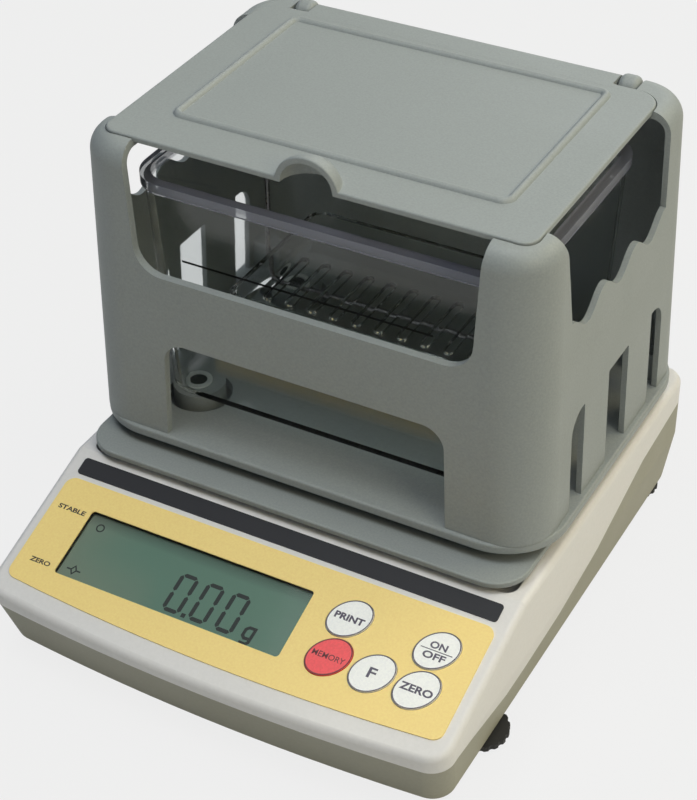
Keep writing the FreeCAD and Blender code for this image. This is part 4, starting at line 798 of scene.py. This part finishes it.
class DENSITYMETER_OT_lid(bpy.types.Operator):
    """Lid skin with its bead, soft edges and finger hood, and its hinge barrel"""
    bl_idname = "density_meter.lid"
    bl_label = "Lid"
    half_width = 83.0
    front = -26.7
    rear = 86.5
    top = 188.3
    bottom = 186.3
    front_radius = 6.0
    rear_radius = 10.0
    edge = 0.7
    bead_half = 66.5
    bead_front = -8.2
    bead_rear = 80.5
    bead_radius = 5.0
    bead_width = 3.4
    bead_height = 1.4
    hood_radius = 12.3
    hood_height = 9.6
    hood_shell = 2.2
    hood_blend = 1.6
    hood_zone = 17.0
    middle_half = 20.0
    middle_depth = 1.0
    middle_radius = 0.5
    flat_rear = 2.0
    tongue_half = 63.2
    tongue_reach = 3.0
    tongue_lift = 0.03
    tongue_soft_edge = (0.0, 0.15, 0.5)
    hinge_y = 93.0
    hinge_z = 184.6
    barrel = 3.7
    barrel_foot = 3.45
    barrel_end = math.radians(-153.0)

    def dome(self, points, radius, height):
        """Height of a low half dome over the lid's underside, falling away outside it."""
        reach = (points[..., 0] ** 2 + (points[..., 1] - self.front) ** 2) / radius ** 2
        inside = height * np.sqrt(np.clip(1 - reach, 0, 1))
        return self.bottom + np.where(reach < 1, inside, (1 - reach) * radius)

    def soft_max(self, a, b, blend):
        """Larger of two heights, rounded where they cross."""
        near = np.clip(blend - np.abs(a - b), 0, None) / blend
        return np.maximum(a, b) + near ** 2 * blend / 4

    def loops(self):
        """Rings from the lid's edge through the bead to its middle, and their bead heights."""
        full = self.half_width - self.front_radius
        near = np.linspace(0, self.hood_zone, 56)
        far = np.linspace(self.hood_zone, full, 34)[1:]
        shares = np.concatenate([near, far]) / full

        def ring(half, front, rear, front_radius, rear_radius):
            return rounded_loop(half, front, rear, front_radius, rear_radius, shares)

        def along(start, end, steps):
            return [start + (end - start) * step for step in steps]

        rings, heights, drops = [], [], []
        for angle in np.linspace(0, math.pi / 2, 5):
            inset = self.edge * (1 - math.cos(angle))
            rings.append(ring(self.half_width - inset, self.front + inset, self.rear - inset,
                              self.front_radius - inset, self.rear_radius - inset))
            heights.append(0.0)
            drops.append(self.edge * (1 - math.sin(angle)))
        bead_outer = ring(self.bead_half, self.bead_front, self.bead_rear, self.bead_radius,
                          self.bead_radius)
        narrow = self.bead_width
        bead_inner = ring(self.bead_half - narrow, self.bead_front + narrow,
                          self.bead_rear - narrow, self.bead_radius - narrow,
                          self.bead_radius - narrow)
        centre_y = (self.bead_front + self.bead_rear) / 2
        middle = ring(self.middle_half, centre_y - self.middle_depth,
                      centre_y + self.middle_depth, self.middle_radius, self.middle_radius)
        for loop in along(rings[-1], bead_outer, np.linspace(0, 1, 36)[1:]):
            rings.append(loop)
            heights.append(0.0)
            drops.append(0.0)
        steps = np.linspace(0, 1, 13)[1:]
        for loop, step in zip(along(bead_outer, bead_inner, steps), steps):
            rings.append(loop)
            heights.append(self.bead_height * math.sin(math.pi * step) ** 0.75)
            drops.append(0.0)
        for loop in along(bead_inner, middle, np.linspace(0, 1, 9)[1:]):
            rings.append(loop)
            heights.append(0.0)
            drops.append(0.0)
        return np.array(rings), np.array(heights), np.array(drops)

    def skin(self):
        """Upper and lower sheet over the same rings, joined round the edge.

        The upper sheet is the higher of the beaded plate and the hood's dome, softly
        blended; the lower one is the higher of the underside and a thinner dome.
        """
        rings, heights, drops = self.loops()
        kept = ((rings[..., 1] > self.rear - self.flat_rear)
                & (np.abs(rings[..., 0]) < self.tongue_half))
        drop = np.where(kept, 0.0, drops[:, None])
        plate = self.top + heights[:, None] * np.ones(rings.shape[1])
        hood = self.dome(rings, self.hood_radius, self.hood_height + self.top - self.bottom)
        upper = self.soft_max(plate, hood, self.hood_blend) - drop
        arch = self.dome(rings, self.hood_radius - self.hood_shell,
                         self.hood_height + self.top - self.bottom - self.hood_shell)
        lower = np.maximum(self.bottom, arch)
        sheets = np.concatenate([np.dstack([rings, upper])[::-1], np.dstack([rings, lower])])
        return closed_grid(sheets[:, ::-1])

    def tongue(self):
        """Rear strip and barrel: one rounded profile carried across the lid."""
        angle = np.linspace(math.pi / 2, self.barrel_end, 30)
        barrel = np.stack([self.hinge_y + self.barrel * np.cos(angle),
                           self.hinge_z + self.barrel * np.sin(angle)], -1)
        start = self.rear - self.tongue_reach
        profile = np.vstack([[(start, self.top + self.tongue_lift)], barrel,
                             [(self.hinge_y - self.barrel_foot, self.bottom),
                              (start, self.bottom)]])
        ends = self.tongue_half - np.array(self.tongue_soft_edge)
        x = np.concatenate([-ends, np.linspace(1 - ends[0], ends[0] - 1, 9), ends[::-1]])
        points = np.zeros((len(x), len(profile), 3))
        points[..., 0] = x[:, None]
        points[..., 1:] = profile
        return closed_grid(points[:, ::-1])

    def execute(self, context):
        grey = bpy.data.materials["shield_plastic"]
        points, faces = self.skin()
        lid = new_piece("lid_skin", points, faces, "lid", grey, ("lid",))
        points, faces = self.tongue()
        barrel = new_piece("lid_barrel", points, faces, "lid", grey)
        for piece in (lid, barrel):
            piece.data.set_sharp_from_angle(angle=math.radians(40))
        return {"FINISHED"}


class DENSITYMETER_OT_tank(bpy.types.Operator):
    """Clear water tank, its fill line and the bright bushes it stands on, with dark discs of
    painted shade in their bores
    """
    bl_idname = "density_meter.tank"
    bl_label = "Tank"
    line_left = -56.6
    line_right = 45.1
    line_width = 0.9
    line_lift = 0.06
    # The front wall's place at the rim, and how far it leans back for its height below.
    wall_front = -21.4
    wall_lean = 4.0 / 94.9
    rim_height = 168.0
    rim_band = 4.0
    rim_share = 0.5
    bore_places = [(x, y) for x in (-61.5, 61.5) for y in (-6.5, 69.5)]
    bore_radius = 3.45
    bore_height = 72.8

    def execute(self, context):
        settings = context.scene.density_meter
        rim = (self.rim_height - self.rim_band, tone(150, 152, 168), self.rim_share)
        dress(clear_plastic("smoky_acrylic", (0.86, 0.88, 0.88), 0.03, 1.36, rim), "tank")
        dress(moulded("bright_ring", tone(252, 252, 252), 0.25, 0.01), "boss_rings")
        # Painted shade: a dark disc in each bush's bore stands in for the shade down the bore.
        discs = []
        for x, y in self.bore_places:
            circle = slanted_oval(x, y, self.bore_radius, self.bore_radius, 0, 48)
            discs.append((at_height(circle, self.bore_height), [list(range(len(circle)))]))
        points, faces = joined(discs)
        new_piece("painted_shade_in_bores", points, faces, "case",
                  moulded("bore_painted_shade", tone(14, 16, 18), 0.6), smooth=False)
        x = np.linspace(self.line_left, self.line_right, 60)
        level = settings.fill_line_height
        y = self.wall_front + (self.rim_height - level) * self.wall_lean - self.line_lift
        low = at_height(np.column_stack([x, np.full(len(x), y)]), level - self.line_width / 2)
        points = np.concatenate([low, low + (0, 0, self.line_width)])
        new_piece("fill_line", points, quads(2, len(x), False), "case",
                  printed("line_ink", tone(8, 8, 10)), smooth=False)
        return {"FINISHED"}


class DENSITYMETER_OT_basket(bpy.types.Operator):
    """Clear basket, its bent wire and the two rods that carry it"""
    bl_idname = "density_meter.basket"
    bl_label = "Basket"

    def execute(self, context):
        dress(clear_plastic("clear_acrylic", (0.93, 0.94, 0.94), 0.05, 1.28), "basket")
        dress(metal("wire_steel", tone(120, 120, 122), 0.3), "basket_hanger")
        dress(metal("rod_steel", tone(110, 110, 112), 0.35), "hanger_rails")
        return {"FINISHED"}


class DENSITYMETER_OT_feet(bpy.types.Operator):
    """Rubber pads and fluted knobs of the four feet"""
    bl_idname = "density_meter.feet"
    bl_label = "Feet"
    places = ("front_left", "front_right", "rear_left", "rear_right")

    def execute(self, context):
        finishes = {"foot_pad_": moulded("foot_rubber", tone(30, 30, 30), 0.8, 0.1),
                    "foot_knob_": moulded("knob_plastic", tone(34, 34, 36), 0.5, 0.1),
                    "foot_stud_": bpy.data.materials["pin_steel"]}
        for kind, finish in finishes.items():
            dress(finish, *[kind + place for place in self.places])
        return {"FINISHED"}


OPERATORS = (DENSITYMETER_OT_stage, DENSITYMETER_OT_case, DENSITYMETER_OT_inside,
             DENSITYMETER_OT_panel, DENSITYMETER_OT_display, DENSITYMETER_OT_keys,
             DENSITYMETER_OT_shield, DENSITYMETER_OT_lid, DENSITYMETER_OT_tank,
             DENSITYMETER_OT_basket, DENSITYMETER_OT_feet)


class DENSITYMETER_PT_panel(bpy.types.Panel):
    """Sidebar panel with the settings and one button for each piece"""
    bl_idname = "DENSITYMETER_PT_panel"
    bl_label = "Density meter"
    bl_space_type = "VIEW_3D"
    bl_region_type = "UI"
    bl_category = "Density meter"

    def draw(self, context):
        settings = context.scene.density_meter
        for name in DensityMeterSettings.__annotations__:
            self.layout.prop(settings, name)
        for operator in OPERATORS:
            self.layout.operator(operator.bl_idname)


CLASSES = (DensityMeterSettings, *OPERATORS, DENSITYMETER_PT_panel)


def register():
    for cls in CLASSES:
        bpy.utils.register_class(cls)
    bpy.types.Scene.density_meter = bpy.props.PointerProperty(type=DensityMeterSettings)


def unregister():
    del bpy.types.Scene.density_meter
    for cls in reversed(CLASSES):
        bpy.utils.unregister_class(cls)


def main():
    register()
    for operator in OPERATORS:
        group, name = operator.bl_idname.split(".")
        getattr(getattr(bpy.ops, group), name)()


if __name__ == "__main__":
    main()
